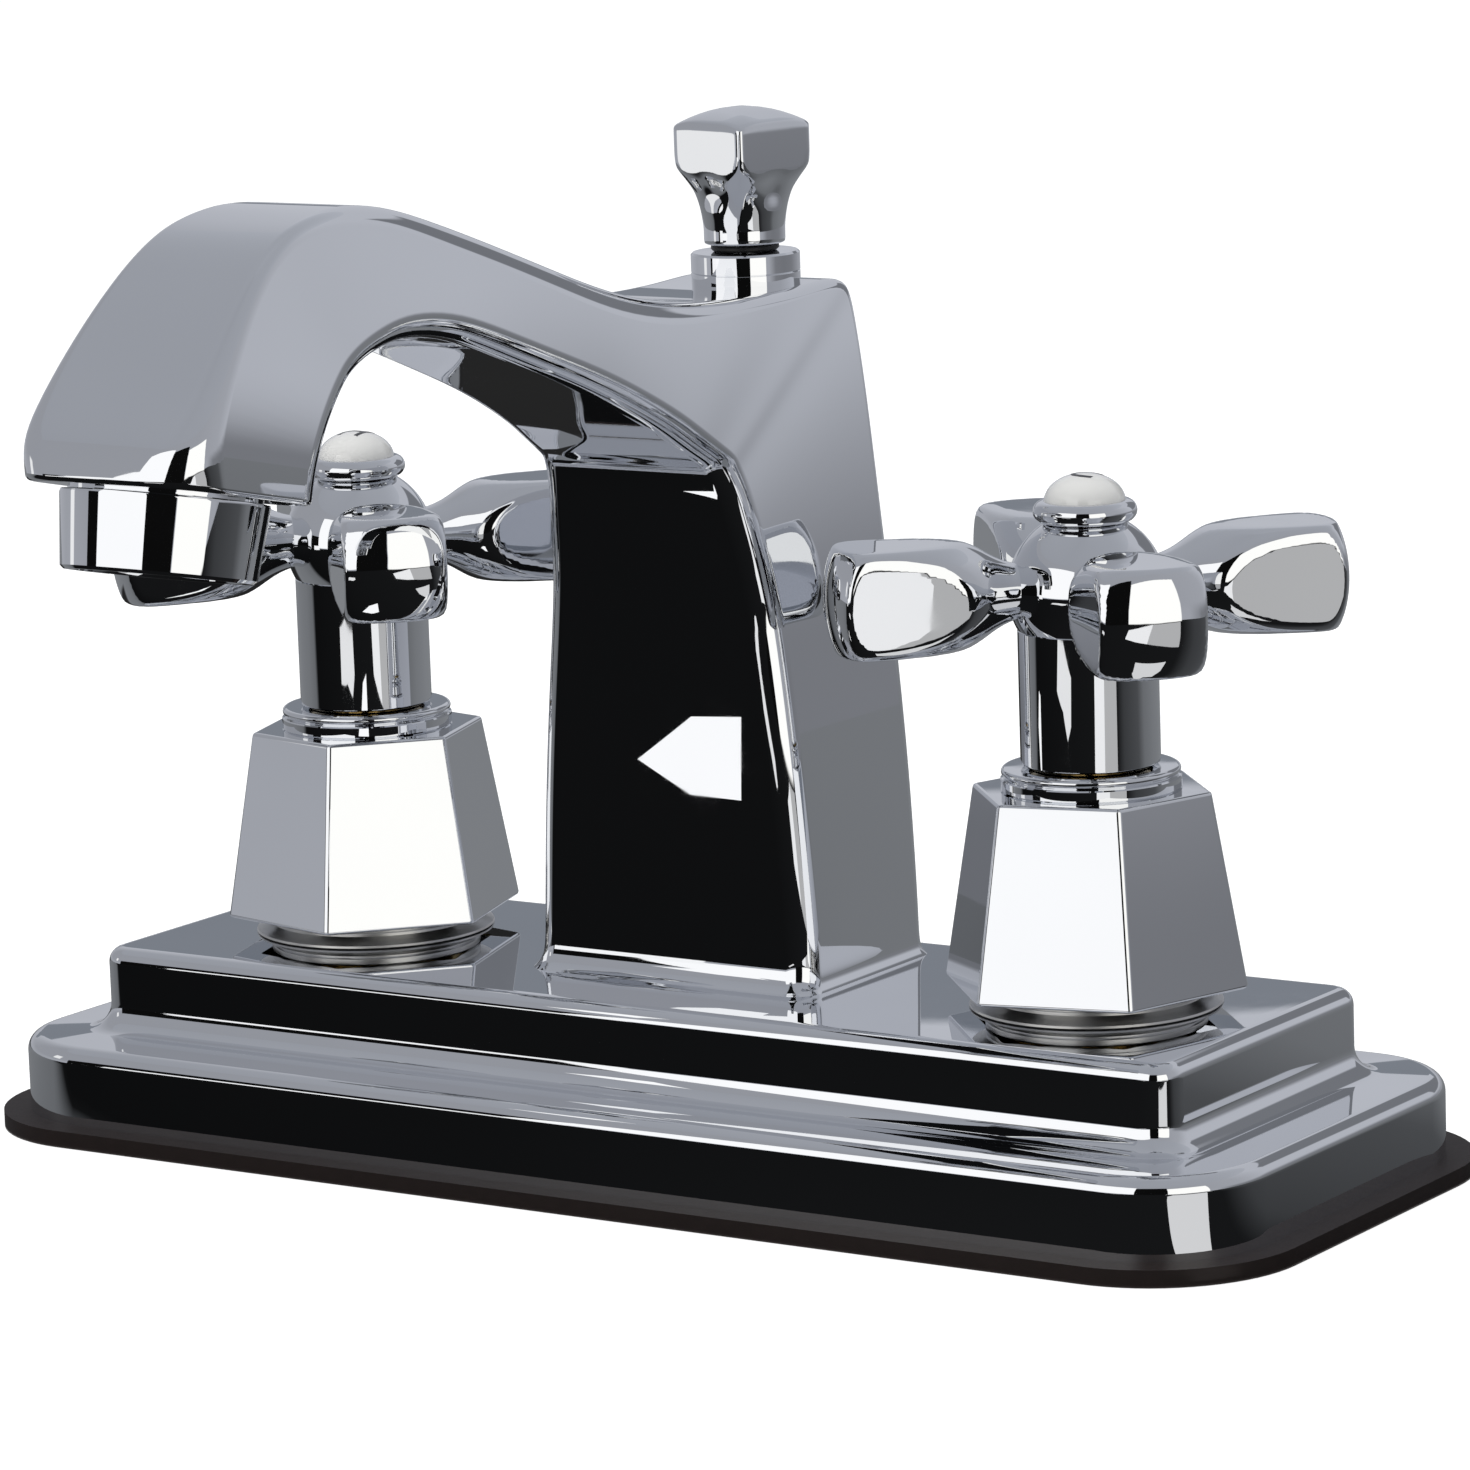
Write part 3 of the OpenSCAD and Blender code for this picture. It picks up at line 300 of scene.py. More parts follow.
card("camera_gap", 15, 43, -0.02, 0.45, 0.64, 0.004)
card("right_softbox", 43, 78, 0.0, 0.36, 0.6, 1.2, fade=0.04, tint=(1, 0.99, 0.95))

# Chrome: the bright plating over the cast and turned brass. It was buffed before it was plated, and the
# wheel leaves faint waves and a haze.


def noise_group(name, low, high, coarse, fine):
    """Shader group: slow and fine noise over the piece, as a height and as a value between low and high."""
    group = bpy.data.node_groups.new(name, "ShaderNodeTree")
    group.interface.new_socket("Scale", in_out="INPUT", socket_type="NodeSocketFloat").default_value = 1
    group.interface.new_socket("Height", in_out="OUTPUT", socket_type="NodeSocketFloat")
    group.interface.new_socket("Value", in_out="OUTPUT", socket_type="NodeSocketFloat")
    into, out = group.nodes.new("NodeGroupInput"), group.nodes.new("NodeGroupOutput")
    where, scaled = group.nodes.new("ShaderNodeTexCoord"), group.nodes.new("ShaderNodeVectorMath")
    scaled.operation = "SCALE"
    group.links.new(where.outputs["Object"], scaled.inputs[0])
    group.links.new(into.outputs["Scale"], scaled.inputs["Scale"])
    waves, haze = group.nodes.new("ShaderNodeTexNoise"), group.nodes.new("ShaderNodeTexNoise")
    waves.inputs["Scale"].default_value = coarse
    waves.inputs["Detail"].default_value = 1
    haze.inputs["Scale"].default_value = fine
    haze.inputs["Detail"].default_value = 5
    for texture in (waves, haze):
        group.links.new(scaled.outputs[0], texture.inputs["Vector"])
    spread = group.nodes.new("ShaderNodeMapRange")
    spread.inputs["To Min"].default_value = low
    spread.inputs["To Max"].default_value = high
    spread.inputs["From Min"].default_value = 0.3
    spread.inputs["From Max"].default_value = 0.7
    group.links.new(haze.outputs["Fac"], spread.inputs["Value"])
    group.links.new(waves.outputs["Fac"], out.inputs["Height"])
    group.links.new(spread.outputs[0], out.inputs["Value"])
    return group


buffed = noise_group("buffed_surface", 0.0, 0.035, 45, 260)


def finish(name, colour, second, roughness, metallic=0.0, bump=0.05, scale=1.0, depth=0.00002, **more):
    """A material whose colour, roughness and small relief vary through the noise group."""
    material = bpy.data.materials.new(name)
    material.use_nodes = True
    tree = material.node_tree
    shader = tree.nodes["Principled BSDF"]
    shader.inputs["Metallic"].default_value = metallic
    for socket, value in more.items():
        shader.inputs[socket.replace("_", " ")].default_value = value
    skin = tree.nodes.new("ShaderNodeGroup")
    skin.node_tree = buffed
    skin.inputs["Scale"].default_value = scale
    blend = tree.nodes.new("ShaderNodeMix")
    blend.data_type = "RGBA"
    blend.inputs["A"].default_value = (*colour, 1)
    blend.inputs["B"].default_value = (*second, 1)
    tree.links.new(skin.outputs["Height"], blend.inputs["Factor"])
    tree.links.new(blend.outputs["Result"], shader.inputs["Base Color"])
    rough = tree.nodes.new("ShaderNodeMath")
    rough.operation = "ADD"
    rough.inputs[1].default_value = roughness
    tree.links.new(skin.outputs["Value"], rough.inputs[0])
    tree.links.new(rough.outputs[0], shader.inputs["Roughness"])
    relief = tree.nodes.new("ShaderNodeBump")
    relief.inputs["Strength"].default_value = bump
    relief.inputs["Distance"].default_value = depth
    tree.links.new(skin.outputs["Height"], relief.inputs["Height"])
    tree.links.new(relief.outputs[0], shader.inputs["Normal"])
    return material


chrome = finish("polished_chrome", (0.80, 0.81, 0.83), (0.85, 0.86, 0.88), 0.0, metallic=1.0, bump=0.25,
                depth=0.00004)

# Deck sheet: a flat sheet under the base, a little wider than the casting, lying between it and the deck.
# Colours the whole sheet under the base one flat, even near-black brown, with only a little noise in tone and
# relief.
gasket_rubber = finish("gasket_rubber", (0.0125, 0.0075, 0.0065), (0.018, 0.011, 0.0095), 0.55, bump=0.3,
                       scale=12, depth=0.00006, Specular_IOR_Level=0.25)


def dress(node, material):
    """Gives a CAD node that stays in view its finish."""
    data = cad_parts[node].data
    data.materials.clear()
    data.materials.append(material)


dress("deck_gasket", gasket_rubber)
DECK_SHEET_T = 2.0

# Base plate: a die-cast cover in two tiers with a cove between them, plated bright and hollow underneath,
# with holes for the two valve necks, the outlet nipple and the lift rod. Sizes are in millimetres.
MM = 0.001
VALVE_X, NIPPLE_Y, ROD_Y = 50.8, -2.1, 9.6
BASE_W, BASE_D, BASE_Y = 169.0, 66.5, -2.25
TIER_TOP, LEDGE_RISE, DECK_Z = 11.2, 0.4, 21.4
LEDGE_W, BASE_CORNER, COVE, EDGE, BASE_WALL = 10.3, 13.8, 3.0, 1.9, 1.8
NECK_HOLE_R, NIPPLE_HOLE_R, ROD_HOLE_R = 12.1, 5.3, 2.9


def pick(kind, test):
    """In edit mode: selects the vertices, edges or faces whose test is true, and nothing else."""
    bpy.ops.mesh.select_mode(type=kind)
    bpy.ops.mesh.select_all(action="DESELECT")
    mesh = bmesh.from_edit_mesh(bpy.context.object.data)
    for part in {"VERT": mesh.verts, "EDGE": mesh.edges, "FACE": mesh.faces}[kind]:
        part.select_set(bool(test(part)))
    mesh.select_flush_mode()
    bmesh.update_edit_mesh(bpy.context.object.data)


def level(edge, z):
    return all(abs(v.co.z - z * MM) < 2e-5 for v in edge.verts)


def done(piece, name, material, angle=35, weighted=True):
    """Closes a piece: merged, normals outwards, smooth with crisp edges, its place in its mesh."""
    if bpy.context.object.mode != "OBJECT":
        bpy.ops.object.mode_set(mode="OBJECT")
    bpy.ops.object.select_all(action="DESELECT")
    piece.select_set(True)
    bpy.context.view_layer.objects.active = piece
    bpy.ops.object.transform_apply(location=True, rotation=True, scale=True)
    bpy.ops.object.mode_set(mode="EDIT")
    bpy.ops.mesh.select_all(action="SELECT")
    bpy.ops.mesh.remove_doubles(threshold=2e-6)
    bpy.ops.mesh.normals_make_consistent(inside=False)
    bpy.ops.object.mode_set(mode="OBJECT")
    bpy.ops.object.shade_smooth_by_angle(angle=math.radians(angle))
    if weighted:
        even = piece.modifiers.new("even_flats", "WEIGHTED_NORMAL")
        even.keep_sharp = True
        bpy.ops.object.modifier_apply(modifier=even.name)
    piece.name = name
    piece.data.materials.clear()
    piece.data.materials.append(material)
    bpy.ops.object.select_all(action="DESELECT")
    return piece


def drill(piece, x, y, low, high, radius):
    """Cuts a round hole along Z through the piece."""
    bpy.ops.object.select_all(action="DESELECT")
    bpy.ops.mesh.primitive_cylinder_add(vertices=64, radius=radius * MM, depth=(high - low) * MM,
                                        location=(x * MM, y * MM, (low + high) / 2 * MM))
    bit = bpy.context.object
    cut = piece.modifiers.new("hole", "BOOLEAN")
    cut.operation, cut.solver, cut.object = "DIFFERENCE", "EXACT", bit
    bpy.context.view_layer.objects.active = piece
    bpy.ops.object.modifier_apply(modifier=cut.name)
    bpy.data.objects.remove(bit)


bpy.ops.mesh.primitive_cube_add(size=1, location=(0, BASE_Y * MM, (DECK_SHEET_T + TIER_TOP) / 2 * MM),
                                scale=(BASE_W * MM, BASE_D * MM, (TIER_TOP - DECK_SHEET_T) * MM))
base = bpy.context.object
bpy.ops.object.transform_apply(location=True, rotation=True, scale=True)
bpy.ops.object.mode_set(mode="EDIT")
pick("EDGE", lambda e: abs(e.verts[0].co.z - e.verts[1].co.z) > 1e-4)
bpy.ops.mesh.bevel(offset=BASE_CORNER * MM, segments=16, affect="EDGES")
pick("FACE", lambda f: f.normal.z > 0.9)
bpy.ops.mesh.inset(thickness=LEDGE_W * MM)
bpy.ops.transform.translate(value=(0, 0, LEDGE_RISE * MM))
upper_tier = (DECK_Z - TIER_TOP - LEDGE_RISE) * MM
bpy.ops.mesh.extrude_region_move(TRANSFORM_OT_translate={"value": (0, 0, upper_tier)})
pick("EDGE", lambda e: level(e, TIER_TOP + LEDGE_RISE))
bpy.ops.mesh.bevel(offset=COVE * MM, segments=8, affect="EDGES")
pick("EDGE", lambda e: level(e, DECK_Z))
bpy.ops.mesh.bevel(offset=EDGE * MM, segments=7, affect="EDGES")
pick("EDGE", lambda e: level(e, TIER_TOP))
bpy.ops.mesh.bevel(offset=EDGE * MM, segments=7, affect="EDGES")
pick("FACE", lambda f: f.normal.z < -0.9)
bpy.ops.mesh.delete(type="FACE")
bpy.ops.object.mode_set(mode="OBJECT")
hollow = base.modifiers.new("hollow", "SOLIDIFY")
hollow.thickness, hollow.offset, hollow.use_even_offset = BASE_WALL * MM, -1, True
bpy.ops.object.modifier_apply(modifier=hollow.name)
for x, y, radius in ((-VALVE_X, 0, NECK_HOLE_R), (VALVE_X, 0, NECK_HOLE_R), (0, NIPPLE_Y, NIPPLE_HOLE_R),
                     (0, ROD_Y, ROD_HOLE_R)):
    drill(base, x, y, 15, 25, radius)
done(base, "tiered_base_plate", chrome)
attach(base, "root")
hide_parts("base_plate")

# Clamp rings: turned and nickel-plated, screwed on the valve necks under the bells, with one fine groove
# round the band.
turned_nickel = finish("turned_nickel", (0.5, 0.495, 0.48), (0.64, 0.63, 0.61), 0.3, metallic=1.0, bump=0.3,
                       scale=4)


def turned(profile, steps=96):
    """Lathe work round Z: a circle drawn out from one profile point (radius, height) to the next."""
    bpy.ops.object.select_all(action="DESELECT")
    radius, height = profile[0]
    bpy.ops.mesh.primitive_circle_add(vertices=steps, radius=radius * MM, location=(0, 0, 0))
    piece = bpy.context.object
    bpy.ops.object.mode_set(mode="EDIT")
    bpy.ops.mesh.select_mode(type="VERT")
    bpy.ops.mesh.select_all(action="SELECT")
    bpy.ops.transform.translate(value=(0, 0, height * MM))
    for (r0, z0), (r1, z1) in zip(profile, profile[1:]):
        bpy.ops.mesh.extrude_region_move(TRANSFORM_OT_translate={"value": (0, 0, (z1 - z0) * MM)})
        if r1 == 0:
            bpy.ops.mesh.merge(type="CENTER")
        elif r1 != r0:
            bpy.ops.transform.resize(value=(r1 / r0, r1 / r0, 1), center_override=(0, 0, z1 * MM))
    bpy.ops.object.mode_set(mode="OBJECT")
    return piece


def arc(centre, radius, start, stop, steps=6):
    """Profile points of an arc from one angle to another, in degrees."""
    angles = [math.radians(start + (stop - start) * i / steps) for i in range(steps + 1)]
    return [(centre[0] + radius * math.cos(a), centre[1] + radius * math.sin(a)) for a in angles]


def place(piece, x=0.0, y=0.0, z=0.0, turn=0.0, tilt=0.0):
    """Puts a piece that was made round the origin where it belongs."""
    piece.location = (x * MM, y * MM, z * MM)
    piece.rotation_euler = (tilt, 0, math.radians(turn))
    return piece


CLAMP_R, BAND_R, NECK_R, CLAMP_H = 14.5, 12.7, 11.65, 2.4
ring_edge = [(CLAMP_R - 0.3, 0), (CLAMP_R, 0.15), (CLAMP_R - 0.1, 0.4), (CLAMP_R - 0.8, 0.6),
             (CLAMP_R - 1.4, 0.85), (BAND_R, 1.2), (BAND_R, 1.5), (BAND_R - 0.06, 1.6), (BAND_R, 1.7),
             (BAND_R, CLAMP_H - 0.2), (BAND_R - 0.2, CLAMP_H)]
HOT_BELL_TURN, COLD_BELL_TURN = 47.1, 12.7
SIDES = (("hot", -VALVE_X, HOT_BELL_TURN), ("cold", VALVE_X, COLD_BELL_TURN))
for side, x, _ in SIDES:
    ring = turned([(NECK_R, 0), *ring_edge, (NECK_R, CLAMP_H), (NECK_R, 0)])
    done(place(ring, x, 0, DECK_Z), f"{side}_turned_clamp_ring", turned_nickel)
    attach(ring, "root")
    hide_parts(f"{side}_clamp_ring")

# Hexagonal bells: six-sided hollow brass bells that hide the cartridges, polished with crisp corners and
# plated. Each one was screwed down where it stopped, so the two stand at different turns.
BELL_Z, BELL_H, BELL_FOOT_R, BELL_TOP_R = 23.8, 22.5, 18.1, 14.2
BELL_WALL, CROWN_T, BELL_EDGE = 3.2, 2.4, 0.42
for side, x, corner in SIDES:
    bpy.ops.mesh.primitive_cone_add(vertices=6, radius1=BELL_FOOT_R * MM, radius2=BELL_TOP_R * MM,
                                    depth=BELL_H * MM)
    bell = bpy.context.object
    bpy.ops.object.mode_set(mode="EDIT")
    pick("FACE", lambda f: f.normal.z < -0.9)
    bpy.ops.mesh.inset(thickness=BELL_WALL * MM)
    bpy.ops.mesh.extrude_region_move(TRANSFORM_OT_translate={"value": (0, 0, (BELL_H - CROWN_T) * MM)})
    bpy.ops.transform.resize(value=(0.72, 0.72, 1), center_override=(0, 0, 0))
    outer = BELL_TOP_R * math.cos(math.radians(30)) * MM * 0.98
    pick("EDGE", lambda e: all(v.co.xy.length > outer for v in e.verts)
         and not all(v.co.z < 0 and v.co.xy.length < 0.95 * BELL_FOOT_R * MM for v in e.verts))
    bpy.ops.mesh.bevel(offset=BELL_EDGE * MM, segments=4, affect="EDGES")
    bpy.ops.object.mode_set(mode="OBJECT")
    done(place(bell, x, 0, BELL_Z + BELL_H / 2, turn=corner - 30), f"{side}_hexagonal_bell", chrome)
    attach(bell, "root")
    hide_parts(f"{side}_bell")

# Collars: a turned and plated nut on each cartridge barrel holds its bell down. It has a plain band and a
# bead above it.
COLLAR_Z, COLLAR_R, COLLAR_H, BARREL_R = 46.3, 10.3, 2.6, 7.05
for side, x, _ in SIDES:
    bead = arc((COLLAR_R - 0.58, 2.12), 0.48, -70, 90, 7)
    collar = turned([(BARREL_R, 0), (COLLAR_R - 0.2, 0), (COLLAR_R, 0.18), (COLLAR_R, 1.3),
                     (COLLAR_R - 0.12, 1.45), (COLLAR_R - 0.5, 1.55), *bead, (BARREL_R, COLLAR_H),
                     (BARREL_R, 0)])
    done(place(collar, x, 0, COLLAR_Z), f"{side}_beaded_collar", chrome)
    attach(collar, "root")
    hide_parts(f"{side}_collar")

# Cross handles: a plated sleeve with a cast cross on it: a ball with four arms that swell from a round
# neck to a square, softly domed end. Four flats were pressed into the round swelling of each arm.
SLEEVE_Z, SLEEVE_R, SLEEVE_LEN, SLEEVE_WALL = 49.2, 7.95, 15.3, 1.1
BALL_R, BALL_Z, BALL_TOP, ARM_Z, ARM_HALF, ARM_EDGE = 9.0, 68.9, 76.7, 69.3, 6.1, 0.55
SPLINE_Z, SPLINE_R, SEAT_Z, SCREW_R, WELL_R = 58.5, 3.9, 69.2, 1.7, 3.4
arm_profile = [(3.0, 4.0), (3.05, 6.0), (3.05, 7.2), (3.25, 8.6), (3.75, 10.0), (4.45, 11.3), (5.2, 12.5),
               (6.0, 14.0), (6.65, 15.5), (7.15, 17.0), (7.6, 18.8), (7.95, 21.0), (8.15, 23.0), (8.25, 25.0),
               (8.22, 26.2), (8.0, 27.1), (7.5, 27.85), (6.7, 28.5), (5.6, 29.05), (4.3, 29.48), (2.9, 29.77),
               (1.4, 29.95), (0.0, 30.0)]


def between(points, steps):
    """Smooth curve through profile points, with steps points between each two."""
    curve = []
    for i in range(len(points) - 1):
        a, b = points[max(i - 1, 0)], points[i]
        c, d = points[i + 1], points[min(i + 2, len(points) - 1)]
        for k in range(steps):
            u = k / steps
            curve.append(tuple(0.5 * (2 * q + (r - p) * u + (2 * p - 5 * q + 4 * r - s) * u * u
                                      + (3 * q - p - 3 * r + s) * u ** 3)
                               for p, q, r, s in zip(a, b, c, d)))
    return [*curve, points[-1]]


def pressed(value, half, edge):
    """Where a point of a turned swelling lies once a flat with a soft edge was pressed into it."""
    share = min(1, max(0, 0.5 + 0.5 * (half - abs(value)) / edge))
    return math.copysign(half + (abs(value) - half) * share - edge * share * (1 - share), value)


def joined(pieces):
    """One object from several."""
    bpy.ops.object.select_all(action="DESELECT")
    for piece in pieces:
        piece.select_set(True)
    bpy.context.view_layer.objects.active = pieces[0]
    bpy.ops.object.transform_apply(location=True, rotation=True, scale=True)
    bpy.ops.object.join()
    return bpy.context.object


for side, x, _ in SIDES:
    body = f"{side}_handle"
    bore = SLEEVE_R - SLEEVE_WALL
    sleeve = turned([(bore, 0), (SLEEVE_R - 0.2, 0), (SLEEVE_R, 0.2), (SLEEVE_R, SLEEVE_LEN),
                     (bore, SLEEVE_LEN), (bore, 0)])
    done(place(sleeve, x, 0, SLEEVE_Z), f"{side}_plated_sleeve", chrome)
    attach(sleeve, body)
    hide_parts(f"{side}_sleeve")

    hub_low = math.degrees(math.asin((SLEEVE_Z + SLEEVE_LEN - BALL_Z) / BALL_R))
    hub_high = math.degrees(math.asin((BALL_TOP - BALL_Z) / BALL_R))
    hub = turned([(SPLINE_R, SPLINE_Z), (6.8, SPLINE_Z), (6.8, 64.5),
                  *arc((0, BALL_Z), BALL_R, hub_low, hub_high, 28), (WELL_R, BALL_TOP),
                  (WELL_R, SEAT_Z + 0.5), (SCREW_R, SEAT_Z + 0.5), (SCREW_R, SEAT_Z), (SPLINE_R, SEAT_Z),
                  (SPLINE_R, SPLINE_Z)])
    arms = [hub]
    for i in range(4):
        arm = turned(between(arm_profile, 2), 64)
        for vertex in arm.data.vertices:
            for axis in (0, 1):
                vertex.co[axis] = pressed(vertex.co[axis] / MM, ARM_HALF, ARM_EDGE) * MM
        arm.matrix_world = (Matrix.Translation((0, 0, ARM_Z * MM))
                            @ Matrix.Rotation(math.radians(45 + 90 * i), 4, "Z")
                            @ Matrix.Rotation(math.radians(90), 4, "Y"))
        arms.append(arm)
    cross = joined(arms)
    done(place(cross, x), f"{side}_cast_cross", chrome, angle=40)
    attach(cross, body)
    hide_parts(f"{side}_cross_handle")

# Index buttons: a chrome bezel, round like a ring, is pressed into the top of each cross. A glazed
# porcelain button with a small dark index letter, H or C, sits in it.
BEZEL_Z, BEZEL_R, BEZEL_H, BUTTON_R, BUTTON_RISE = BALL_TOP, 5.9, 2.5, 5.2, 3.0
DOME_BASE, DOME_RISE, LETTER_SIZE, LETTER_T, INK_GAP = BUTTON_R - 0.55, BUTTON_RISE + 0.5, 5.2, 0.02, 0.015
porcelain = finish("glazed_porcelain", (0.80, 0.79, 0.76), (0.86, 0.855, 0.83), 0.06, bump=0.15, scale=1.5,
                   depth=0.00005, Coat_Weight=1.0, Coat_Roughness=0.03)
index_ink = finish("index_ink", (0.02, 0.02, 0.025), (0.03, 0.03, 0.035), 0.3, bump=0.05)
for side, x, _ in SIDES:
    body = f"{side}_handle"
    bezel = turned([(3.35, -3.5), (3.35, 0), *arc((BEZEL_R - 1.25, 1.25), 1.25, -90, 90, 14), (4.5, 2.45),
                    (4.5, 1.3), (2.0, 1.3), (2.0, -3.5), (3.35, -3.5)])
    done(place(bezel, x, 0, BEZEL_Z), f"{side}_ring_bezel", chrome)
    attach(bezel, body)
    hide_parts(f"{side}_bezel")

    dome = [(DOME_BASE * math.cos(a), BEZEL_H - 0.5 + DOME_RISE * math.sin(a) ** 0.9)
            for a in (math.radians(90 * i / 14) for i in range(14))]
    button = turned([(0.001, -2.5), (1.95, -2.5), (1.95, 1.3), (4.4, 1.3), (4.45, 1.8), *dome,
                     (0, BEZEL_H + BUTTON_RISE)], 64)
    done(place(button, x, 0, BEZEL_Z), f"{side}_porcelain_button", porcelain, angle=50)
    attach(button, body)
    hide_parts(f"{side}_button")

    bpy.ops.object.text_add(location=(0, 0, 0))
    letter = bpy.context.object
    letter.data.body = side[0].upper()
    letter.data.size = LETTER_SIZE * MM
    letter.data.align_x, letter.data.align_y = "CENTER", "CENTER"
    letter.data.extrude = LETTER_T * MM
    bpy.ops.object.convert(target="MESH")
    bpy.ops.object.mode_set(mode="EDIT")
    bpy.ops.mesh.select_all(action="SELECT")
    bpy.ops.mesh.subdivide(number_cuts=2)
    bpy.ops.object.mode_set(mode="OBJECT")
    letter = bpy.context.object
    over_dome = BEZEL_Z + BEZEL_H + BUTTON_RISE + 0.3
    done(place(letter, x, 0, over_dome), f"{side}_index_letter", index_ink, weighted=False)
    for vertex in letter.data.vertices:
        out = (vertex.co.xy - Vector((x * MM, 0))).length / (DOME_BASE * MM)
        rise = DOME_RISE * math.sqrt(max(0, 1 - out * out)) ** 0.9
        above = vertex.co.z - over_dome * MM
        vertex.co.z = (BEZEL_Z + BEZEL_H - 0.5 + rise + INK_GAP) * MM + above
    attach(letter, body)

# Spout: one brass casting, ground and polished before plating. It is a tapering column, a flat saddle for
# the lift rod, an arch and a flared head. Its long edges have a radius that grows towards the mouth.
STEPS, ARC_STEPS, LIP = 5, 8, 0.6
# Stations along it: inner y and height, outer y and height, half width inside and outside, corner radii
# inside and outside. Heights are above the base plate.
stations = [
    (-12.9, 0.0, 15.2, 0.0, 19.9, 19.9, 3.4, 2.4),
    (-12.2, 0.5, 14.9, 0.5, 19.5, 19.5, 3.2, 2.4),
    (-11.5, 1.4, 14.8, 1.4, 19.2, 19.2, 3.0, 2.4),
    (-11.2, 3.2, 14.8, 3.2, 19.1, 19.1, 3.0, 2.4),
    (-11.2, 7.9, 15.0, 7.9, 18.9, 18.9, 3.0, 2.4),
    (-11.4, 22.2, 15.4, 22.2, 18.0, 18.0, 3.0, 2.4),
    (-11.5, 35.7, 15.8, 37.3, 16.7, 16.5, 3.0, 2.4),
    (-11.7, 46.0, 16.0, 52.3, 15.5, 14.7, 3.0, 2.4),
    (-13.2, 52.8, 16.2, 67.0, 14.6, 12.8, 3.0, 2.0),
    (-14.3, 57.7, 16.2, 74.3, 13.9, 11.7, 3.0, 2.0),
    (-15.4, 60.1, 16.1, 78.6, 13.5, 11.0, 3.0, 2.0),
    (-16.2, 61.5, 14.7, 80.2, 13.3, 10.9, 3.0, 2.0),
    (-18.3, 62.7, 5.0, 79.5, 13.0, 10.9, 3.0, 2.0),
    (-21.1, 64.4, -6.0, 79.6, 12.7, 10.9, 3.0, 2.0),
    (-25.2, 67.0, -16.0, 80.2, 12.3, 10.5, 3.0, 3.0),
    (-33.7, 71.1, -28.0, 82.3, 11.6, 10.2, 3.0, 3.0),
    (-41.2, 74.1, -39.5, 86.4, 11.3, 9.8, 3.0, 3.0),
    (-52.5, 78.3, -52.0, 91.0, 11.0, 9.3, 3.0, 3.0),
    (-62.0, 81.8, -62.0, 94.4, 10.9, 9.0, 3.0, 3.0),
    (-71.0, 82.9, -71.0, 97.0, 10.9, 8.9, 3.0, 2.4),
    (-76.6, 81.9, -80.0, 97.9, 11.1, 8.9, 3.0, 2.0),
    (-79.9, 80.9, -86.4, 96.9, 11.3, 8.9, 3.0, 1.7),
    (-81.4, 80.0, -90.3, 95.7, 11.4, 9.0, 3.2, 1.5),
    (-82.8, 79.0, -95.8, 92.6, 11.5, 9.4, 3.4, 1.5),
    (-85.4, 76.2, -103.0, 86.0, 11.8, 10.8, 3.8, 2.0),
    (-87.6, 72.9, -109.5, 79.0, 12.0, 12.2, 4.2, 3.4),
    (-88.4, 70.2, -112.4, 75.9, 12.0, 12.5, 4.6, 5.4),
    (-88.9, 67.2, -113.3, 72.6, 12.0, 12.3, 5.0, 7.0),
]


def flowing(rows, steps):
    """Even, gently smoothed rows between the stations, as a grinder's wheel blends them."""
    first = tuple(2 * a - b for a, b in zip(rows[0], rows[1]))
    last = tuple(2 * a - b for a, b in zip(rows[-1], rows[-2]))
    all_rows, smooth = [first, *rows, last], []
    for i in range(1, len(all_rows) - 2):
        for k in range(steps):
            u = k / steps
            weights = ((1 - u) ** 3 / 6, (3 * u ** 3 - 6 * u * u + 4) / 6,
                       (-3 * u ** 3 + 3 * u * u + 3 * u + 1) / 6, u ** 3 / 6)
            smooth.append(tuple(sum(w * all_rows[i - 1 + n][j] for n, w in enumerate(weights))
                                for j in range(8)))
    return [*smooth, rows[-1]]


def section(row):
    """The points round one station: two flat sides, drawn in a little, between four round corners."""
    inner, outer, half_in, half_out, r_in, r_out = Vector(row[0:2]), Vector(row[2:4]), *row[4:8]
    span = (outer - inner).length
    side = []
    for i in range(ARC_STEPS + 1):
        a = math.radians(90 * i / ARC_STEPS)
        side.append((r_in * (1 - math.cos(a)), r_in * (1 - math.sin(a))))
    for i in range(ARC_STEPS + 1):
        a = math.radians(90 * i / ARC_STEPS)
        side.append((span - r_out * (1 - math.sin(a)), r_out * (1 - math.cos(a))))
    right = [(half_in + (half_out - half_in) * v / span - draw, v) for v, draw in side]
    ring = [*right, *((-x, v) for x, v in reversed(right))]
    along = (outer - inner) / span
    return [Vector((x, inner.x + along.x * v, DECK_Z + inner.y + along.y * v)) * MM for x, v in ring]


rings = [section(row) for row in flowing(stations, STEPS)]
bpy.ops.mesh.primitive_circle_add(vertices=len(rings[0]), radius=0.01)
spout = bpy.context.object
for vertex, point in zip(spout.data.vertices, rings[0]):
    vertex.co = point
bpy.ops.object.mode_set(mode="EDIT")
bpy.ops.mesh.select_mode(type="VERT")
bpy.ops.mesh.select_all(action="SELECT")
bpy.ops.mesh.edge_face_add()
for before, after in zip(rings, rings[1:]):
    bpy.ops.mesh.extrude_region_move(TRANSFORM_OT_translate={"value": (0, 0, 0)})
    mesh = bmesh.from_edit_mesh(spout.data)
    moves = {tuple(round(c, 7) for c in old): new for old, new in zip(before, after)}
    for vertex in mesh.verts:
        if vertex.select:
            vertex.co = moves[tuple(round(c, 7) for c in vertex.co)]
    bmesh.update_edit_mesh(spout.data)
mouth_rim = {tuple(round(c, 6) for c in point) for point in rings[-1]}
pick("EDGE", lambda e: all(tuple(round(c, 6) for c in v.co) in mouth_rim for v in e.verts))
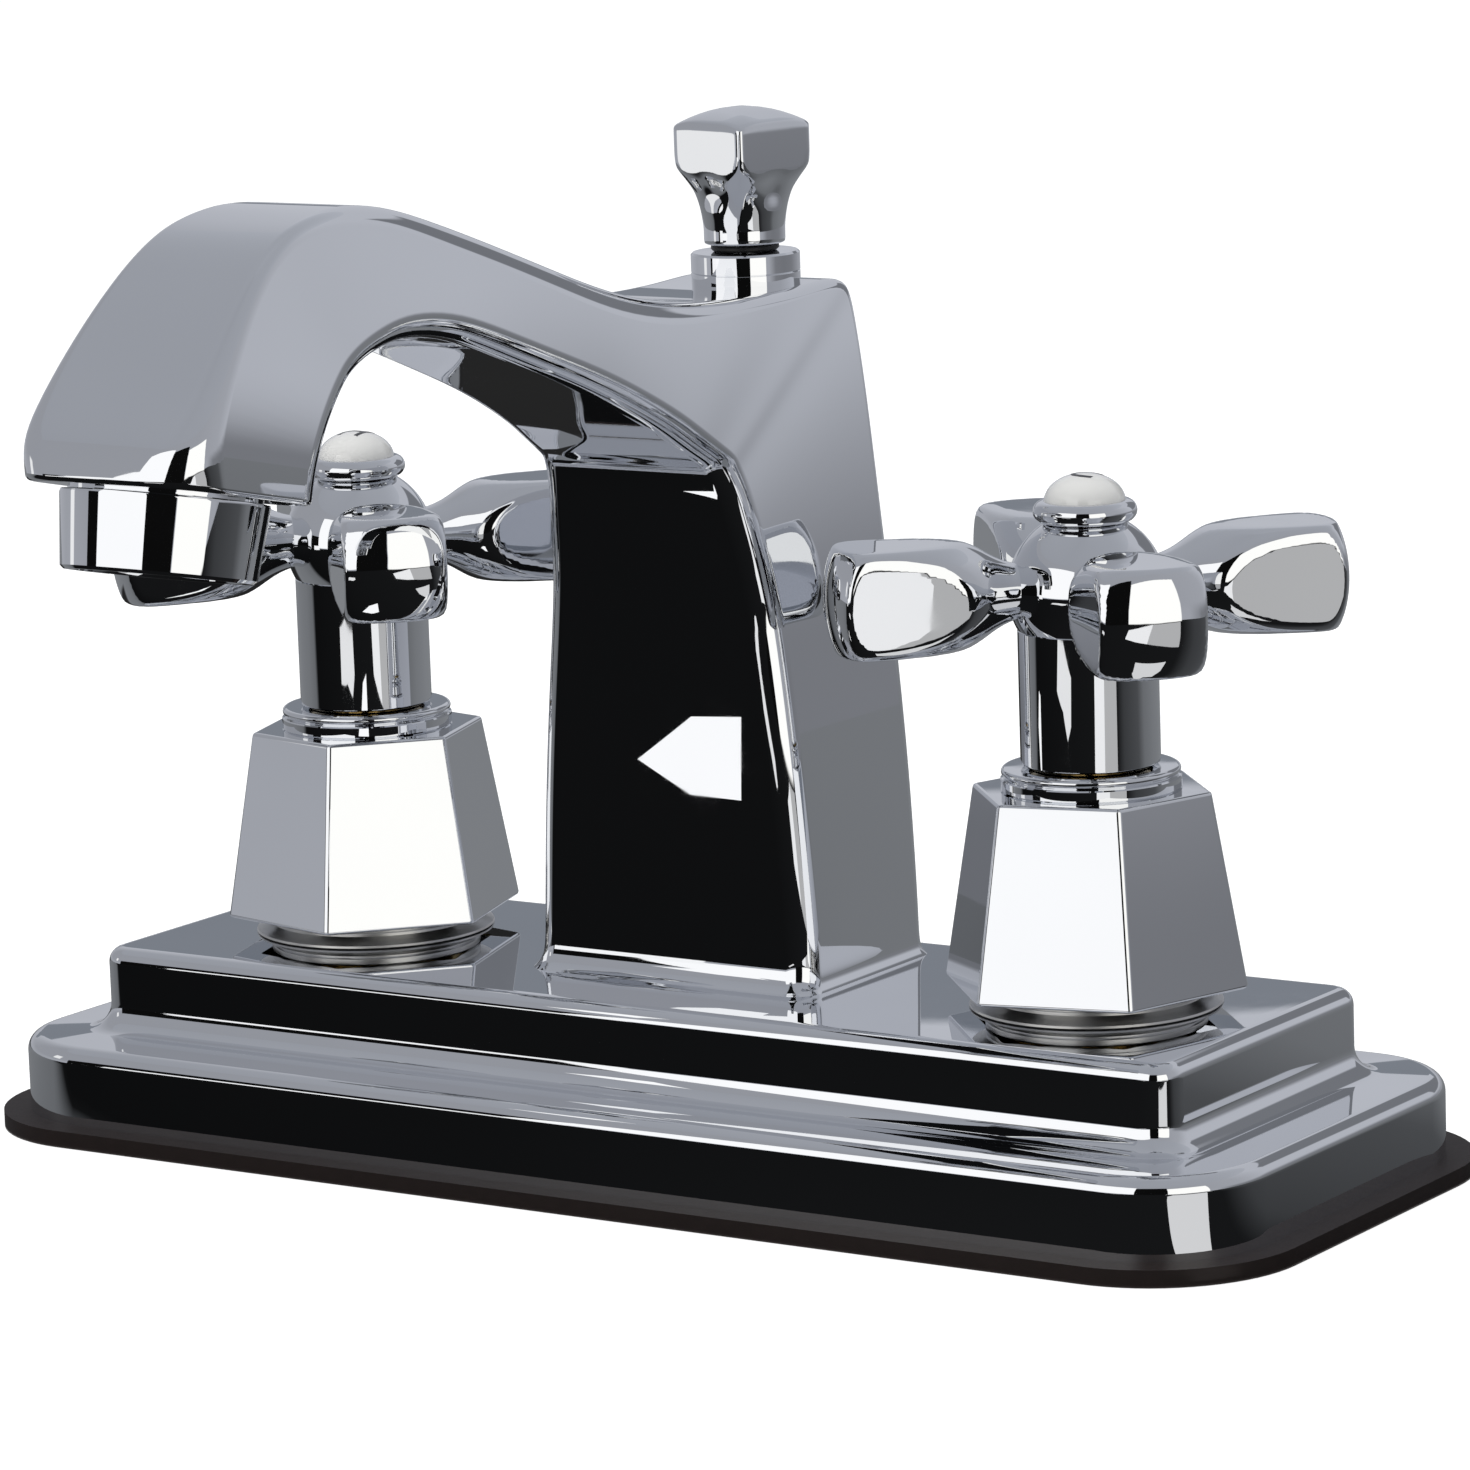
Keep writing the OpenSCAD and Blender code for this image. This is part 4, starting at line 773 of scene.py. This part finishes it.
bpy.ops.mesh.bevel(offset=LIP * MM, segments=4, affect="EDGES")
bpy.ops.object.mode_set(mode="OBJECT")
done(spout, "cast_arched_spout", chrome, angle=40)
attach(spout, "root")
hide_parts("spout")

# Aerator: a turned and plated housing with a small foot bevel, screwed into the mouth, and a white plastic
# insert with rings of holes. The band is plain.
MOUTH_Y, MOUTH_Z, MOUTH_TILT = -101.1, 91.3, math.radians(-12.5)
housing = turned([(8.4, -7.5), (8.7, -8.7), (9.9, -8.7), (10.3, -8.35), (11.0, -0.75), (10.9, -0.4),
                  (10.2, -0.3), (10.2, 0.3), (9.6, 0.3), (9.6, 3.8), (8.4, 3.8), (8.4, 0), (7.6, -1),
                  (7.6, -1.6), (8.4, -1.6), (8.4, -7.5)])
done(place(housing, 0, MOUTH_Y, MOUTH_Z, tilt=MOUTH_TILT), "turned_aerator_housing", chrome)
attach(housing, "root")
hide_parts("aerator_housing")
white_plastic = finish("white_plastic", (0.62, 0.62, 0.6), (0.68, 0.68, 0.66), 0.35, bump=0.2, scale=6)
dress("aerator_insert", white_plastic)

# Lift rod: a guide collar sits on the saddle, and the plated rod slides through it. Its knob is a round
# neck that swells into a square head with softened flats and a low dome, with a rubber ring below to
# cushion it.
GUIDE_Z, GUIDE_R, GUIDE_H, ROD_BORE_R, SHANK_R = 100.2, 6.4, 4.4, 2.45, 3.15
guide = turned([(ROD_BORE_R, -9), (SHANK_R, -9), (SHANK_R, 0), (GUIDE_R, 0), (GUIDE_R, 1.95),
                (GUIDE_R - 0.1, 2.05), (GUIDE_R, 2.15), (GUIDE_R, GUIDE_H - 0.25), (GUIDE_R - 0.25, GUIDE_H),
                (ROD_BORE_R, GUIDE_H), (ROD_BORE_R, -9)])
done(place(guide, 0, ROD_Y, GUIDE_Z), "grooved_guide_collar", chrome)
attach(guide, "root")
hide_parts("guide_collar")

KNOB_Z, KNOB_R, KNOB_HALF, KNOB_EDGE, KNOB_TURN, KNOB_BORE = 105.5, 7.95, 5.75, 0.35, -13, 10.9
FLAT_FOOT, SHOULDER, DOME_TOP, DOME_DROP = 8.3, 13.3, 16.0, 1.55
NECK_FOOT, FLARE, SQUARING, ROUNDING = 3.4, 4.2, 0.2, 0.04
knob_side = between([(4.3, 0.0), (4.6, 0.1), (4.75, 0.35), (4.77, 1.2), (4.8, 2.2), (5.0, 3.65), (5.31, 5.0),
                     (5.85, 6.4), (6.8, 7.8), (7.65, 9.0), (7.9, 10.1), (KNOB_R, 11.3), (KNOB_R, 12.6),
                     (KNOB_R, SHOULDER)], 3)
knob_dome = [(KNOB_R * share, DOME_TOP - share)
             for share in (0.998, 0.994, 0.988, 0.98, 0.95, 0.88, 0.78, 0.64, 0.5, 0.34, 0.17, 0)]
knob = turned([*knob_side, *knob_dome], 96)
bpy.ops.object.mode_set(mode="EDIT")
pick("VERT", lambda v: v.co.z < 1e-6)
bpy.ops.mesh.edge_face_add()
bpy.ops.object.mode_set(mode="OBJECT")
for vertex in knob.data.vertices:
    x, y, z = vertex.co / MM
    if z > SHOULDER + 0.1:
        share = max(math.hypot(x, y) / KNOB_R, 1e-6)
        x, y = (pressed(value / share, KNOB_HALF, KNOB_EDGE) * share for value in (x, y))
        rim = max(0, share - 1 + ROUNDING) / ROUNDING
        z = DOME_TOP - DOME_DROP * math.sqrt(x ** 4 + y ** 4) / KNOB_HALF ** 2 - 0.3 * rim ** 2
    else:
        if z < FLAT_FOOT:
            share = min(1, max(0, (z - NECK_FOOT) / FLARE))
            thin = 1 - SQUARING * share * share * (3 - 2 * share) * math.cos(2 * math.atan2(y, x)) ** 2
            x, y = x * thin, y * thin
        x, y = pressed(x, KNOB_HALF, KNOB_EDGE), pressed(y, KNOB_HALF, KNOB_EDGE)
    vertex.co = (x * MM, y * MM, z * MM)
done(place(knob, 0, ROD_Y, KNOB_Z, turn=KNOB_TURN), "square_lift_knob", chrome, angle=50)
drill(knob, 0, ROD_Y, KNOB_Z - 2, KNOB_Z + KNOB_BORE, ROD_BORE_R)
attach(knob, "lift")
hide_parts("lift_knob")
dress("lift_rod", chrome)

# Inner pieces under the cover: the cast waterway, the shanks, the cartridges with their ceramic discs, and
# the seals.
brass = finish("machined_brass", (0.62, 0.46, 0.20), (0.72, 0.56, 0.28), 0.18, metallic=1.0, bump=0.3,
               scale=3)
black_rubber = finish("black_rubber", (0.012, 0.012, 0.012), (0.02, 0.02, 0.02), 0.4, bump=0.3, scale=10,
                      Specular_IOR_Level=0.3)
ceramic = finish("ground_ceramic", (0.78, 0.77, 0.73), (0.84, 0.83, 0.8), 0.3, bump=0.1, scale=8)
steel = finish("machined_steel", (0.5, 0.5, 0.5), (0.6, 0.6, 0.6), 0.2, metallic=1.0, bump=0.3, scale=5)
for node in ("waterway_body", "outlet_nipple"):
    dress(node, brass)
for node in ("nipple_o_ring", "aerator_washer", "knob_ring"):
    dress(node, black_rubber)
for side, *_ in SIDES:
    for name, material in (("inlet_shank", brass), ("cartridge", brass), ("stem", brass),
                           ("seat_seal", black_rubber), ("fixed_disc", ceramic), ("turning_disc", ceramic),
                           ("handle_screw", steel)):
        dress(f"{side}_{name}", material)
